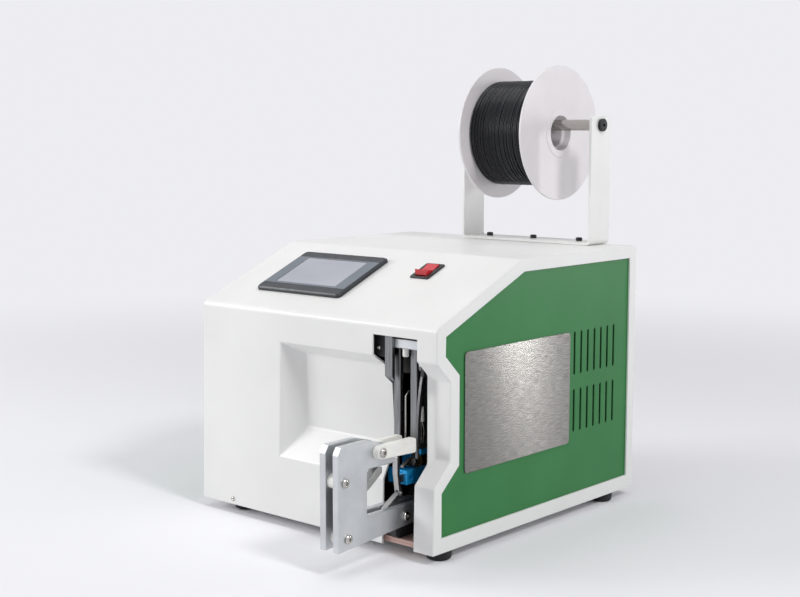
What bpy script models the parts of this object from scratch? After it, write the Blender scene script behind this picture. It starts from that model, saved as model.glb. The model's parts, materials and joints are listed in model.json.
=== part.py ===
"""Desktop twist tie machine, modelled as its separate pieces.

X runs to the right as the operator sees it, -Y towards the operator and +Z up.
Places are measured from a point on the housing's lower front edge, half the
drawn width left of its right side. The root empty then moves everything so that
the origin lies on the table, under the middle of the whole machine.
"""
import math

import bmesh
import bpy
from mathutils import Vector

# Fits that all pieces share
GAP = 0.0003              # between touching pieces
RUN_GAP = 0.0008          # between pieces that slide or turn on each other
OVERRUN = 0.006           # how far a cutter runs past the faces that it cuts

# Housing, bent from sheet
HOUSING_WIDTH = 0.350
HOUSING_RIGHT = 0.175     # right face, which the mechanism keeps its place from
HOUSING_DEPTH = 0.372
HOUSING_HEIGHT = 0.290
FRONT_HEIGHT = 0.230
FRONT_LEAN = 0.0057
SLOPE_RUN = 0.1413
SHEET = 0.002
FRONT_BEND = 0.008
TOP_BEND = 0.012
BACK_BEND = 0.003
EDGE_BEND = 0.0014
FRAME_BORDER = 0.0138     # painted frame round each side panel
FRAME_SILL = 0.0162       # frame below each panel
FRAME_TOE = 0.0130        # frame in front of the panel, below the notch

# Hand recess in the front, which runs out through the right side as a notch
RECESS_LEFT = -0.0475
RECESS_LEFT_RUN = 0.0262
RECESS_LOW = 0.0684
RECESS_BELOW_SLOPE = 0.0348
RECESS_DEPTH = 0.024
RECESS_FLOOR_RISE = 0.0336
RECESS_ROOF_DROP = 0.0121
NOTCH_DEPTH = 0.027
NOTCH_FLOOR_RISE = 0.0241
NOTCH_ROOF_DROP = 0.0215
NOTCH_LIP_DEPTH = 0.021
NOTCH_LIP_WIDTH = 0.0055

# Slot that the mechanism shows through
SLOT_RIGHT = 0.149
SLOT_TOP_BELOW = 0.013
SLOT_TOP_LEFT = 0.089
SLOT_STEP_HIGH_BELOW = 0.059
SLOT_STEP_LOW_BELOW = 0.0655
SLOT_NECK_LEFT = 0.099
SLOT_FOOT_LEFT = 0.106

# Side panels, name plate and vents
PANEL_SHEET = 0.0015
PANEL_OVERLAP = 0.006
PLATE_VENT_SPACE = 0.0105
PLATE_HEIGHT = 0.126
PLATE_SHEET = 0.001
PLATE_CORNER = 0.004
PLATE_FRONT = 0.0512
PLATE_BOTTOM = 0.0755
VENT_WIDTH = 0.0037
VENT_HEIGHT = 0.050
VENT_PITCH = 0.0133
VENT_BACK_SPACE = 0.0432
VENT_ROW_LOW = 0.111
VENT_ROW_HIGH = 0.1764
VENT_COUNT = 7

# Base pan, rear panel and mains inlet
PAN_SHEET = 0.0018
PAN_FLANGE = 0.0072
PAN_NOTCH = 0.020         # sheet left out at the foot of the slot
REAR_INSET = 0.0025
REAR_SHEET = 0.0015
REAR_VENT_LEFT = 0.020
REAR_VENT_MIDDLE = 0.180
INLET_WIDTH = 0.0275
INLET_HEIGHT = 0.020
INLET_FLANGE = 0.004
INLET_FLANGE_SHEET = 0.002
INLET_DEPTH = 0.024
INLET_POCKET = 0.017
INLET_WALL = 0.002
INLET_LEFT_SPACE = 0.055
INLET_Z = 0.045
INLET_CORNER = 0.003

# Feet
FOOT_HEIGHT = 0.0105
FOOT_TOP_RADIUS = 0.014
FOOT_TREAD_RADIUS = 0.012
FOOT_ROUND = 0.0015
FOOT_RECESS_RADIUS = 0.005
FOOT_RECESS_DEPTH = 0.004
FOOT_LEFT_INSET = 0.044
FOOT_RIGHT_INSET = 0.0158
FOOT_FRONT_Y = 0.028
FOOT_BACK_INSET = 0.044

# Touch screen on the slope; places run right and up the slope
SCREEN_WIDTH = 0.1295
SCREEN_LENGTH = 0.089
SCREEN_LEFT_SPACE = 0.0546
SCREEN_UP = 0.0805
SCREEN_BEZEL = 0.0045
SCREEN_EDGE = 0.0015
SCREEN_CORNER = 0.004
SCREEN_BODY_DEPTH = 0.026
SCREEN_BODY_INSET = 0.0065
GLASS_WIDTH = 0.092
GLASS_LENGTH = 0.057
GLASS_SHEET = 0.0007
GLASS_CORNER = 0.001

# Power switch on the slope
SWITCH_WIDTH = 0.026
SWITCH_LENGTH = 0.0325
SWITCH_SCREEN_SPACE = 0.0554
SWITCH_UP = 0.109
SWITCH_BEZEL = 0.0016
SWITCH_RIM = 0.0032
SWITCH_SIDE_RIM = 0.0048
SWITCH_BODY_INSET = 0.002
SWITCH_BODY_DEPTH = 0.022
SWITCH_WELL = 0.0105
SWITCH_CORNER = 0.002
ROCKER_TILT = 12          # degrees either side of the middle
ROCKER_PIVOT = 0.0004
ROCKER_EAR = 0.0056
ROCKER_DIP = 0.0018
ROCKER_SKIRT = 0.0008
ROCKER_BELLY = 0.0065
ROCKER_BELLY_HALF = 0.005

# Spool bracket, shaft and screws
BRACKET_WIDTH = 0.1912
BRACKET_X = 0.0414
BRACKET_DEPTH = 0.040
BRACKET_BACK_SPACE = 0.002
BRACKET_HEIGHT = 0.151
BRACKET_SHEET = 0.003
BRACKET_BEND = 0.005
BRACKET_CORNER = 0.003
BRACKET_SCREW_PITCH = 0.067
BRACKET_HOLE_RADIUS = 0.0023
SOCKET_RADIUS = 0.0018
SOCKET_DEPTH = 0.002
SHAFT_RADIUS = 0.0065
SHAFT_BELOW_TOP = 0.0105
SHAFT_CHAMFER = 0.0006
SHAFT_SCREW_RADIUS = 0.003
SHAFT_SCREW_LENGTH = 0.014
SHAFT_SCREW_HEAD_RADIUS = 0.0068
SHAFT_SCREW_HEAD = 0.0035

# Spool and the tie wire wound on it
SPOOL_RADIUS = 0.080
SPOOL_WIDTH = 0.093
SPOOL_X = 0.0328
FLANGE_SHEET = 0.003
FLANGE_ROUND = 0.0008
HUB_RADIUS = 0.027
BORE_RADIUS = 0.0163
COUNTERBORE_RADIUS = 0.0206
COUNTERBORE_DEPTH = 0.009
BOSS_RADIUS = 0.0288
BOSS_STEP = 0.0008
WOUND_RADIUS = 0.0607
WIRE_RADIUS = 0.0015
WIRE_LOOPS = 22
WIRE_POINTS = 24          # round each loop
CORE_CLEARANCE = 0.0008

# Guide plates
GUIDE_SHEET = 0.008
GUIDE_SPACE = 0.0095
WIRE_X = 0.12025          # plane that the tie wire runs in
GUIDE_FRONT = -0.0925
GUIDE_BOTTOM = 0.016
GUIDE_TOP = 0.121
GUIDE_NOSE_RUN = 0.0045
GUIDE_NOSE_DROP = 0.0075
GUIDE_TOP_END = -0.048
GUIDE_SHOULDER_Y = -0.0226
GUIDE_SHOULDER_Z = 0.114
GUIDE_TIP_Y = -0.010
GUIDE_TIP_Z = 0.106
WINDOW_FRONT = -0.0513
WINDOW_TOP = 0.0924
WINDOW_BOTTOM = 0.045
ARM_END = 0.040
ARM_END_BOTTOM = 0.0258
WINDOW_ROUND = 0.003
GUIDE_EDGE = 0.0006
GUIDE_SCREW_RADIUS = 0.0025
GUIDE_SCREW_HEAD_RADIUS = 0.00465
GUIDE_SCREW_HEAD = 0.0027
SPACER_RADIUS = 0.0075
SCREW_UPPER_Y = -0.083
SCREW_UPPER_Z = 0.085
SCREW_LOWER_Y = -0.079
SCREW_LOWER_Z = 0.028
SCREW_ARM_Y = 0.0068
SCREW_ARM_Z = 0.033

# Gate levers of nylon
GATE_Y = -0.0374
GATE_Z = 0.1083
GATE_EYE_RADIUS = 0.0067
GATE_SHEET = 0.008
GATE_TAIL_SHEET = 0.006
GATE_END = 0.0136
GATE_END_TOP = 0.1152
GATE_END_BOTTOM = 0.0998
GATE_NECK_Y = -0.019
GATE_END_ROUND = 0.0028
GATE_EDGE = 0.0012

# Wire guides between the plates
TRACK_TIP_Y = -0.0205
TRACK_TIP_LOW = 0.0825
TRACK_TIP_HIGH = 0.088
TRACK_TIP_LENGTH = 0.0055
TRACK_BEND_Y = -0.036
TRACK_BEND_Z = 0.0715
TRACK_FRONT = -0.051
TRACK_FRONT_TOP = 0.060
TRACK_FLOOR = 0.0372
TRACK_CORNER = 0.0055
TRACK_BACK = -0.0155
TRACK_WALL = 0.0075
TRACK_GROOVE = 0.002
TRACK_GROOVE_DEPTH = 0.0022
LINK_SHEET = 0.0064
LINK_WIDTH = 0.0036
LINK_TOP_Y = 0.0062
LINK_TOP_Z = 0.094
LINK_KNEE_Z = 0.0755
LINK_FOOT_WIDTH = 0.0052
LINK_STEM_Z = 0.070
LINK_STEM_HEIGHT = 0.008
PIN_Y = 0.0108
PIN_Z = 0.0540
PIN_RADIUS = 0.0013
PIN_HEAD_RADIUS = 0.0023
PIN_HEAD = 0.0009
FINGER_EYE_RADIUS = 0.0032
FINGER_EYE_SHEET = 0.003
FINGER_ROOM_RADIUS = 0.0044
FINGER_TIP_Y = -0.0138
FINGER_TIP_Z = 0.0409
FINGER_TIP_WIDTH = 0.0034

# Twist head
HEAD_LEFT = 0.100
HEAD_RIGHT = 0.126
HEAD_FRONT = 0.016
HEAD_BACK = 0.062
HEAD_BOTTOM = 0.062
HEAD_DECK = 0.0772
HEAD_TOP = 0.100
HEAD_UPRIGHT_FRONT = 0.038
HEAD_EDGE = 0.0008
HEAD_TAP_RADIUS = 0.0025
HEAD_TAP_Y = 0.023
HEAD_TAP_DEPTH = 0.010
SPINDLE_Z = 0.084
SPINDLE_RADIUS = 0.005
SPINDLE_NOSE = 0.030
BEARING_RADIUS = 0.0078
BEARING_FLANGE_RADIUS = 0.0095
BEARING_FLANGE = 0.0015
HOOK_TIP = 0.0152
HOOK_SHEET = 0.004
HOOK_REACH = 0.0052
PULLEY_RADIUS = 0.0125
PULLEY_FLANGE_RADIUS = 0.0148
PULLEY_FLANGE = 0.001
BELT_WIDTH = 0.005
BELT_SHEET = 0.0014
PULLEY_FRONT = 0.0755
MOTOR_Z = 0.045
MOTOR_RADIUS = 0.0155
MOTOR_FRONT = 0.0418
MOTOR_STEP = 0.0012
MOTOR_STEP_LENGTH = 0.005
MOTOR_SHAFT_RADIUS = 0.003
MOTOR_SHAFT_DEPTH = 0.010

# Chassis
CHASSIS_FRONT = 0.070
CHASSIS_SHEET = 0.004
CHASSIS_RIGHT = 0.148
CHASSIS_TOP_BELOW = 0.004
CHASSIS_FOOT = 0.028
BOARD_LEFT = 0.086
BOARD_FRONT = 0.006
BOARD_BACK = 0.160
BOARD_SHEET = 0.0062
ARM_BLOCK_TOP = 0.038
ARM_BLOCK_FRONT = 0.0005

# Slide: rails, carriage and bumper
RAIL_WIDTH = 0.0086
RAIL_DEPTH = 0.006
RAIL_SPREAD = 0.0224      # between the rails' middle lines
RAIL_FRONT = 0.020
RAIL_EDGE = 0.001
RAIL_BASE_TOP = 0.1053
RAIL_BASE_LEFT = 0.1047
RAIL_BASE_RIGHT = 0.137
RAIL_HEAD_BOTTOM_BELOW = 0.0157
RAIL_HEAD_TOP_BELOW = 0.006
RAIL_HEAD_FRONT = 0.0263
CARRIAGE_LEFT = 0.1112
CARRIAGE_RIGHT = 0.145
CARRIAGE_FRONT = 0.014
CARRIAGE_BOTTOM_BELOW = 0.0257
CARRIAGE_TOP_BELOW = 0.016
CARRIAGE_EDGE = 0.0006
BUMPER_RADIUS = 0.0034
BUMPER_X = 0.124
BUMPER_BOTTOM_BELOW = 0.0342
BUMPER_ROUND = 0.0008

# Hook bar and its bracket
HOOK_BAR_LEFT = 0.1017
HOOK_BAR_RIGHT = 0.1115
HOOK_BAR_FRONT = 0.010
HOOK_BAR_SHEET = 0.004
HOOK_BAR_LOW_BELOW = 0.062
HOOK_BAR_CORNER_BELOW = 0.056
HOOK_BAR_TOP_BELOW = 0.0087
HOOK_BAR_BEVEL = 0.008
HOOK_BRACKET_LEFT = 0.081
HOOK_BRACKET_RIGHT = 0.1025
HOOK_BRACKET_SHEET = 0.003
HOOK_BRACKET_BOTTOM_BELOW = 0.037

# Cutter lever, its pin and its bracket
CUTTER_PIVOT_Y = 0.027
CUTTER_PIVOT_BELOW = 0.044
CUTTER_EYE_RADIUS = 0.0065
CUTTER_SHEET = 0.003
CUTTER_LEFT = 0.138
CUTTER_TIP_Y = 0.0165
CUTTER_TIP_Z = 0.0925
CUTTER_BOW = 0.003        # how far the lever bows towards the front
CUTTER_WIDTH = 0.0060
CUTTER_TIP_WIDTH = 0.0022
CUTTER_PIN_RADIUS = 0.002
CUTTER_PIN_HEAD_RADIUS = 0.0032
CUTTER_BRACKET_SHEET = 0.0035
CUTTER_BRACKET_BOTTOM_BELOW = 0.054
CUTTER_BRACKET_TOP_BELOW = 0.034

# Wire feed
ROLLER_RADIUS = 0.0101
ROLLER_WIDTH = 0.008
ROLLER_FRONT = 0.034
ROLLER_BELOW = 0.045
ROLLER_NIP = 0.0008
ROLLER_SHAFT_RADIUS = 0.003
FEED_MOTOR_RADIUS = 0.016
FEED_MOTOR_LENGTH = 0.040
TUBE_RADIUS = 0.0011
TUBE_Y = 0.0212
TUBE_TOP_BELOW = 0.0565
TUBE_BEND_TOP_BELOW = 0.062
TUBE_STRAIGHT_SHARE = 0.76  # of the run from the rail base up to the bend

# Sensor
SENSOR_RADIUS = 0.0026
SENSOR_ABOVE_BASE = 0.0228
SENSOR_LENGTH = 0.016
SENSOR_X = 0.1349

# Control box on the base pan
SUPPLY_LEFT_SPACE = 0.025
SUPPLY_WIDTH = 0.110
SUPPLY_BACK_SPACE = 0.032
SUPPLY_DEPTH = 0.160
SUPPLY_HEIGHT = 0.050
BOX_EDGE = 0.002

# Counts of facets
SMALL_ROUND = 12
MIDDLE_ROUND = 20
LARGE_ROUND = 40
CORNER_STEPS = 3
BEND_STEPS = 5
VENT_STEPS = 2

# Sizes that follow from the ones above
HOUSING_LEFT = HOUSING_RIGHT - HOUSING_WIDTH
INSIDE_LEFT = HOUSING_LEFT + SHEET + GAP
INSIDE_RIGHT = HOUSING_RIGHT - SHEET - GAP
RECESS_HIGH = FRONT_HEIGHT - RECESS_BELOW_SLOPE
SLOT_TOP = FRONT_HEIGHT - SLOT_TOP_BELOW
SLOT_STEP_HIGH = FRONT_HEIGHT - SLOT_STEP_HIGH_BELOW
SLOT_STEP_LOW = FRONT_HEIGHT - SLOT_STEP_LOW_BELOW
CHASSIS_TOP = FRONT_HEIGHT - CHASSIS_TOP_BELOW
RAIL_HEAD_BOTTOM = FRONT_HEIGHT - RAIL_HEAD_BOTTOM_BELOW
RAIL_HEAD_TOP = FRONT_HEIGHT - RAIL_HEAD_TOP_BELOW
CARRIAGE_BOTTOM = FRONT_HEIGHT - CARRIAGE_BOTTOM_BELOW
CARRIAGE_TOP = FRONT_HEIGHT - CARRIAGE_TOP_BELOW
BUMPER_BOTTOM = FRONT_HEIGHT - BUMPER_BOTTOM_BELOW
HOOK_BAR_LOW = FRONT_HEIGHT - HOOK_BAR_LOW_BELOW
HOOK_BAR_CORNER = FRONT_HEIGHT - HOOK_BAR_CORNER_BELOW
HOOK_BAR_TOP = FRONT_HEIGHT - HOOK_BAR_TOP_BELOW
HOOK_BRACKET_BOTTOM = FRONT_HEIGHT - HOOK_BRACKET_BOTTOM_BELOW
CUTTER_PIVOT_Z = FRONT_HEIGHT - CUTTER_PIVOT_BELOW
CUTTER_BRACKET_BOTTOM = FRONT_HEIGHT - CUTTER_BRACKET_BOTTOM_BELOW
CUTTER_BRACKET_TOP = FRONT_HEIGHT - CUTTER_BRACKET_TOP_BELOW
ROLLER_Z = FRONT_HEIGHT - ROLLER_BELOW
TUBE_TOP = FRONT_HEIGHT - TUBE_TOP_BELOW
TUBE_BEND_TOP = FRONT_HEIGHT - TUBE_BEND_TOP_BELOW
TUBE_BEND_BOTTOM = RAIL_BASE_TOP + TUBE_STRAIGHT_SHARE * (TUBE_BEND_TOP - RAIL_BASE_TOP)
SENSOR_BOTTOM = RAIL_BASE_TOP + SENSOR_ABOVE_BASE
VENT_FIRST = HOUSING_DEPTH - VENT_BACK_SPACE - (VENT_COUNT - 1) * VENT_PITCH
PLATE_WIDTH = VENT_FIRST - PLATE_VENT_SPACE - PLATE_FRONT
INLET_X = HOUSING_LEFT + INLET_LEFT_SPACE
FOOT_LEFT_X = HOUSING_LEFT + FOOT_LEFT_INSET
FOOT_RIGHT_X = HOUSING_RIGHT - FOOT_RIGHT_INSET
FOOT_BACK_Y = HOUSING_DEPTH - FOOT_BACK_INSET
SCREEN_X = HOUSING_LEFT + SCREEN_LEFT_SPACE + SCREEN_WIDTH / 2
SWITCH_X = SCREEN_X + SCREEN_WIDTH / 2 + SWITCH_SCREEN_SPACE + SWITCH_WIDTH / 2
BRACKET_BACK = HOUSING_DEPTH - BRACKET_BACK_SPACE
SUPPLY_LEFT = HOUSING_LEFT + SUPPLY_LEFT_SPACE
SUPPLY_FRONT = HOUSING_DEPTH - SUPPLY_BACK_SPACE - SUPPLY_DEPTH
SLOPE_ANGLE = math.atan2(HOUSING_HEIGHT - FRONT_HEIGHT, SLOPE_RUN)
NEAR_INSIDE = WIRE_X + GUIDE_SPACE / 2
NEAR_OUTSIDE = NEAR_INSIDE + GUIDE_SHEET
FAR_INSIDE = WIRE_X - GUIDE_SPACE / 2
FAR_OUTSIDE = FAR_INSIDE - GUIDE_SHEET
BOARD_BOTTOM = PAN_SHEET + GAP
BOARD_TOP = BOARD_BOTTOM + BOARD_SHEET
BRACKET_LEFT = BRACKET_X - BRACKET_WIDTH / 2
BRACKET_RIGHT = BRACKET_X + BRACKET_WIDTH / 2
BRACKET_FRONT = BRACKET_BACK - BRACKET_DEPTH
BRACKET_BASE = HOUSING_HEIGHT + GAP
BRACKET_TOP = BRACKET_BASE + BRACKET_HEIGHT
AXLE_Y = BRACKET_BACK - BRACKET_DEPTH / 2
SHAFT_Z = BRACKET_TOP - SHAFT_BELOW_TOP
SPOOL_Z = SHAFT_Z + SHAFT_RADIUS + GAP - BORE_RADIUS
SPOOL_LEFT = SPOOL_X - SPOOL_WIDTH / 2
SPOOL_RIGHT = SPOOL_X + SPOOL_WIDTH / 2
CHASSIS_BACK = CHASSIS_FRONT + CHASSIS_SHEET
RAIL_BACK = RAIL_FRONT + RAIL_DEPTH
BELT_MIDDLE = PULLEY_FRONT + PULLEY_FLANGE + GAP + BELT_WIDTH / 2
DRIVE_ROLLER_X = WIRE_X - ROLLER_RADIUS - ROLLER_NIP / 2
PINCH_ROLLER_X = WIRE_X + ROLLER_RADIUS + ROLLER_NIP / 2
MACHINE_MIDDLE_X = (HOUSING_LEFT + HOUSING_RIGHT) / 2
MACHINE_MIDDLE_Y = (GUIDE_FRONT + AXLE_Y + SPOOL_RADIUS) / 2


# Scene, looks and placing

for old in list(bpy.data.objects):
    bpy.data.objects.remove(old, do_unlink=True)

ROOT = bpy.data.objects.new("machine_origin", None)
ROOT.location = (-MACHINE_MIDDLE_X, -MACHINE_MIDDLE_Y, FOOT_HEIGHT)
bpy.context.collection.objects.link(ROOT)

SLOPE = bpy.data.objects.new("slope_origin", None)
SLOPE.location = (0, FRONT_LEAN, FRONT_HEIGHT)
SLOPE.rotation_euler = (SLOPE_ANGLE, 0, 0)
SLOPE.parent = ROOT
bpy.context.collection.objects.link(SLOPE)


def look(name, colour, roughness, metallic=0.0):
    """A plain Principled material."""
    material = bpy.data.materials.new(name)
    material.use_nodes = True
    shader = material.node_tree.nodes["Principled BSDF"]
    shader.inputs["Base Color"].default_value = (*colour, 1.0)
    shader.inputs["Roughness"].default_value = roughness
    shader.inputs["Metallic"].default_value = metallic
    return material


WHITE_PAINT = look("white_paint", (0.80, 0.80, 0.78), 0.35)
GREEN_PAINT = look("green_paint", (0.06, 0.22, 0.08), 0.40)
BRUSHED_STEEL = look("brushed_steel", (0.55, 0.54, 0.52), 0.32, 1.0)
BRIGHT_STEEL = look("bright_steel", (0.62, 0.62, 0.61), 0.22, 1.0)
DARK_STEEL = look("dark_steel", (0.05, 0.05, 0.055), 0.45, 0.6)
BLACK_STEEL = look("black_steel", (0.015, 0.015, 0.017), 0.38, 0.4)
SATIN_ALUMINIUM = look("satin_aluminium", (0.60, 0.61, 0.62), 0.36, 1.0)
BLUE_ANODISED = look("blue_anodised", (0.01, 0.28, 0.62), 0.35, 0.5)
BRONZE = look("bronze", (0.45, 0.28, 0.12), 0.35, 1.0)
NYLON = look("nylon", (0.86, 0.85, 0.80), 0.45)
BAKELITE = look("bakelite", (0.36, 0.20, 0.16), 0.55)
RUBBER = look("rubber", (0.012, 0.012, 0.012), 0.75)
BLACK_PLASTIC = look("black_plastic", (0.015, 0.015, 0.016), 0.35)
SCREEN_PLASTIC = look("screen_plastic", (0.055, 0.065, 0.075), 0.50)
SCREEN_GLASS = look("screen_glass", (0.32, 0.33, 0.36), 0.08)
RED_PLASTIC = look("red_plastic", (0.70, 0.02, 0.02), 0.28)
SPOOL_PLASTIC = look("spool_plastic", (0.80, 0.77, 0.79), 0.35)
WIRE_PLASTIC = look("wire_plastic", (0.008, 0.009, 0.011), 0.30)
BELT_RUBBER = look("belt_rubber", (0.02, 0.02, 0.02), 0.80)


def make(name, bm, material=None, pivot=(0, 0, 0), parent=None, smooth=True):
    """Turn machine coordinates into an object whose origin is its pivot."""
    bmesh.ops.recalc_face_normals(bm, faces=bm.faces)
    bmesh.ops.translate(bm, verts=bm.verts, vec=-Vector(pivot))
    mesh = bpy.data.meshes.new(name)
    bm.to_mesh(mesh)
    bm.free()
    thing = bpy.data.objects.new(name, mesh)
    thing.location = pivot
    thing.parent = parent or ROOT
    bpy.context.collection.objects.link(thing)
    if material:
        mesh.materials.append(material)
    if smooth:
        mesh.shade_smooth()
        mesh.set_sharp_from_angle(angle=math.radians(34))
    return thing


def cut(thing, name, bm, parent=None, operation='DIFFERENCE'):
    """Cut a shape out of an object, or join it on."""
    tool = make(f"{name}_shape", bm, parent=parent, smooth=False)
    tool.hide_render = True
    tool.display_type = 'WIRE'
    modifier = thing.modifiers.new(name, 'BOOLEAN')
    modifier.operation = operation
    modifier.solver = 'EXACT'
    modifier.object = tool
    return tool


def soften(thing, width, segments=1, angle=40):
    """Break the sharp edges of an object."""
    bevel = thing.modifiers.new("softened_edges", 'BEVEL')
    bevel.width = width
    bevel.segments = segments
    bevel.limit_method = 'ANGLE'
    bevel.angle_limit = math.radians(angle)
    return bevel


# Outlines

def rounded(corners, steps=CORNER_STEPS):
    """Outline with arcs: each corner is (a, b) or (a, b, radius)."""
    points = []
    for index, corner in enumerate(corners):
        here = Vector(corner[:2])
        if len(corner) == 2 or not corner[2]:
            points.append(tuple(here))
            continue
        before = (Vector(corners[index - 1][:2]) - here).normalized()
        after = (Vector(corners[(index + 1) % len(corners)][:2]) - here).normalized()
        half = before.angle(after) / 2
        reach = corner[2] / math.tan(half)
        centre = here + (before + after).normalized() * (corner[2] / math.sin(half))
        start = here + before * reach - centre
        turn = math.pi - 2 * half
        if before.x * after.y - before.y * after.x > 0:
            turn = -turn
        for step in range(steps + 1):
            angle = turn * step / steps
            cosine, sine = math.cos(angle), math.sin(angle)
            points.append((centre.x + start.x * cosine - start.y * sine,
                           centre.y + start.x * sine + start.y * cosine))
    return points


def box_outline(a_low, a_high, b_low, b_high, radius=0.0):
    """Rectangle, with round corners if a radius is given."""
    return rounded([(a_low, b_low, radius), (a_high, b_low, radius),
                    (a_high, b_high, radius), (a_low, b_high, radius)])


def offset(points, distance):
    """Move each side of a counter-clockwise outline outwards, with mitred corners."""
    moved = []
    for index, point in enumerate(points):
        here = Vector(point)
        before = (here - Vector(points[index - 1])).normalized()
        after = (Vector(points[(index + 1) % len(points)]) - here).normalized()
        normal_before = Vector((before.y, -before.x))
        normal_after = Vector((after.y, -after.x))
        mitre = (normal_before + normal_after).normalized()
        moved.append(tuple(here + mitre * (distance / mitre.dot(normal_after))))
    return moved


def arc(centre, radius, first, last, steps):
    """Points on an arc; angles in degrees."""
    points = []
    for step in range(steps + 1):
        angle = math.radians(first + (last - first) * step / steps)
        points.append((centre[0] + radius * math.cos(angle),
                       centre[1] + radius * math.sin(angle)))
    return points


# Solids

def on_axis(axis, point, along):
    """Place an outline point: (y, z) along X, (x, z) along Y, (x, y) along Z."""
    if axis == 'X':
        return (along, point[0], point[1])
    if axis == 'Y':
        return (point[0], along, point[1])
    return (point[0], point[1], along)


def stack(loops):
    """Solid through a pile of closed loops with equal counts of points."""
    bm = bmesh.new()
    rings = [[bm.verts.new(point) for point in loop] for loop in loops]
    for lower, upper in zip(rings, rings[1:]):
        for index in range(len(lower)):
            after = (index + 1) % len(lower)
            bm.faces.new((lower[index], lower[after], upper[after], upper[index]))
    bm.faces.new(rings[0][::-1])
    bm.faces.new(rings[-1])
    return bm


def prism(outline, low, high, axis):
    """Straight extrusion of an outline between two places on an axis."""
    return stack([[on_axis(axis, point, low) for point in outline],
                  [on_axis(axis, point, high) for point in outline]])


def turned(profile, axis, centre, steps):
    """Revolve a closed (radius, along) profile round an axis through a centre."""
    bm = bmesh.new()
    verts = []
    for radius, along in profile:
        verts.append(bm.verts.new(on_axis(axis, (centre[0] + radius, centre[1]), along)))
    edges = [bm.edges.new((verts[index - 1], verts[index])) for index in range(len(verts))]
    direction = Vector(on_axis(axis, (0, 0), 1))
    bmesh.ops.spin(bm, geom=verts + edges, cent=on_axis(axis, centre, 0), axis=direction,
                   angle=2 * math.pi, steps=steps, use_merge=True)
    bmesh.ops.remove_doubles(bm, verts=bm.verts, dist=GAP / 100)
    loose = [edge for edge in bm.edges if not edge.link_faces]
    bmesh.ops.delete(bm, geom=loose, context='EDGES')
    return bm


def rod(radius, low, high, axis, centre, steps=SMALL_ROUND):
    """Plain cylinder along an axis."""
    return prism(arc(centre, radius, 0, 360 - 360 / steps, steps - 1), low, high, axis)


def merge(shapes):
    """Put separate cutter shapes into one mesh."""
    joined = bmesh.new()
    for shape in shapes:
        bmesh.ops.recalc_face_normals(shape, faces=shape.faces)
        mesh = bpy.data.meshes.new("part_of_cutter")
        shape.to_mesh(mesh)
        shape.free()
        joined.from_mesh(mesh)
        bpy.data.meshes.remove(mesh)
    return joined


def screw_shape(head_radius, head, radius, length, axis, centre, seat, towards, dome=0.0):
    """Socket screw: its head sits on the seat and its shank runs the other way."""
    top = seat + towards * head
    profile = [(0, seat - towards * length), (radius, seat - towards * length),
               (radius, seat), (head_radius, seat), (head_radius, top - towards * dome)]
    if dome:
        profile.append((head_radius - dome, top))
    else:
        profile.append((head_radius, top))
    profile += [(SOCKET_RADIUS, top), (SOCKET_RADIUS, top - towards * SOCKET_DEPTH),
                (0, top - towards * SOCKET_DEPTH)]
    return turned(remove_repeats(profile), axis, centre, SMALL_ROUND)


def remove_repeats(profile):
    """Drop a point that repeats the one before it."""
    kept = []
    for point in profile:
        if not kept or point != kept[-1]:
            kept.append(point)
    return kept


# Housing

def side_profile():
    """Outer side view of the housing with sharp corners, counter-clockwise in (y, z)."""
    return [(0, 0), (HOUSING_DEPTH, 0), (HOUSING_DEPTH, HOUSING_HEIGHT),
            (FRONT_LEAN + SLOPE_RUN, HOUSING_HEIGHT), (FRONT_LEAN, FRONT_HEIGHT)]


def front_at(height):
    """Where the leaning front face stands at a height."""
    return FRONT_LEAN * height / FRONT_HEIGHT


def notched_profile():
    """Side view with the notch that the hand recess leaves in the right side."""
    notch = [(front_at(RECESS_HIGH), RECESS_HIGH),
             (NOTCH_DEPTH, RECESS_HIGH - NOTCH_ROOF_DROP),
             (NOTCH_DEPTH, RECESS_LOW + NOTCH_FLOOR_RISE),
             (front_at(RECESS_LOW), RECESS_LOW)]
    return side_profile() + notch


def right_window_outline():
    """Window in the right side frame, which follows the notch."""
    window = offset(notched_profile(), -FRAME_BORDER)
    window[0] = (FRAME_TOE, FRAME_SILL)
    window[1] = (window[1][0], FRAME_SILL)
    window[-1] = (FRAME_TOE, window[-1][1])
    return window


def left_window_outline():
    """The same on the left side, which has no notch."""
    window = offset(side_profile(), -FRAME_BORDER)
    window[0] = (window[0][0], FRAME_SILL)
    window[1] = (window[1][0], FRAME_SILL)
    return window


def grown_wall(depth, rise, mouth, thickness):
    """Slope of a splayed wall and where its skin, grown outwards, meets the back."""
    slope = rise / (depth - mouth)
    return slope, thickness * (slope - math.sqrt(1 + slope * slope))


def recess_left_wall(y, z, thickness):
    """Splayed left wall of the recess, which meets the leaning front in an upright line."""
    slope = RECESS_LEFT_RUN / RECESS_DEPTH
    return RECESS_LEFT + slope * (y - front_at(z)) - thickness * math.sqrt(1 + slope * slope)


def recess_shape(thickness=0.0):
    """Hand recess, as far as the slot, or the same grown by a sheet thickness."""
    back = RECESS_DEPTH + thickness
    mouth = -OVERRUN
    low_slope, low_shift = grown_wall(RECESS_DEPTH, RECESS_FLOOR_RISE,
                                      front_at(RECESS_LOW), thickness)
    high_slope, high_shift = grown_wall(RECESS_DEPTH, RECESS_ROOF_DROP,
                                        front_at(RECESS_HIGH), thickness)
    low = RECESS_LOW + RECESS_FLOOR_RISE + low_shift
    high = RECESS_HIGH - RECESS_ROOF_DROP - high_shift
    right = WIRE_X - OVERRUN
    run = back - mouth
    low_mouth, high_mouth = low - low_slope * run, high + high_slope * run
    return stack([[(recess_left_wall(y, foot, thickness), y, foot), (right, y, foot),
                   (right, y, head), (recess_left_wall(y, head, thickness), y, head)]
                  for y, foot, head in ((back, low, high), (mouth, low_mouth, high_mouth))])


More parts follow.
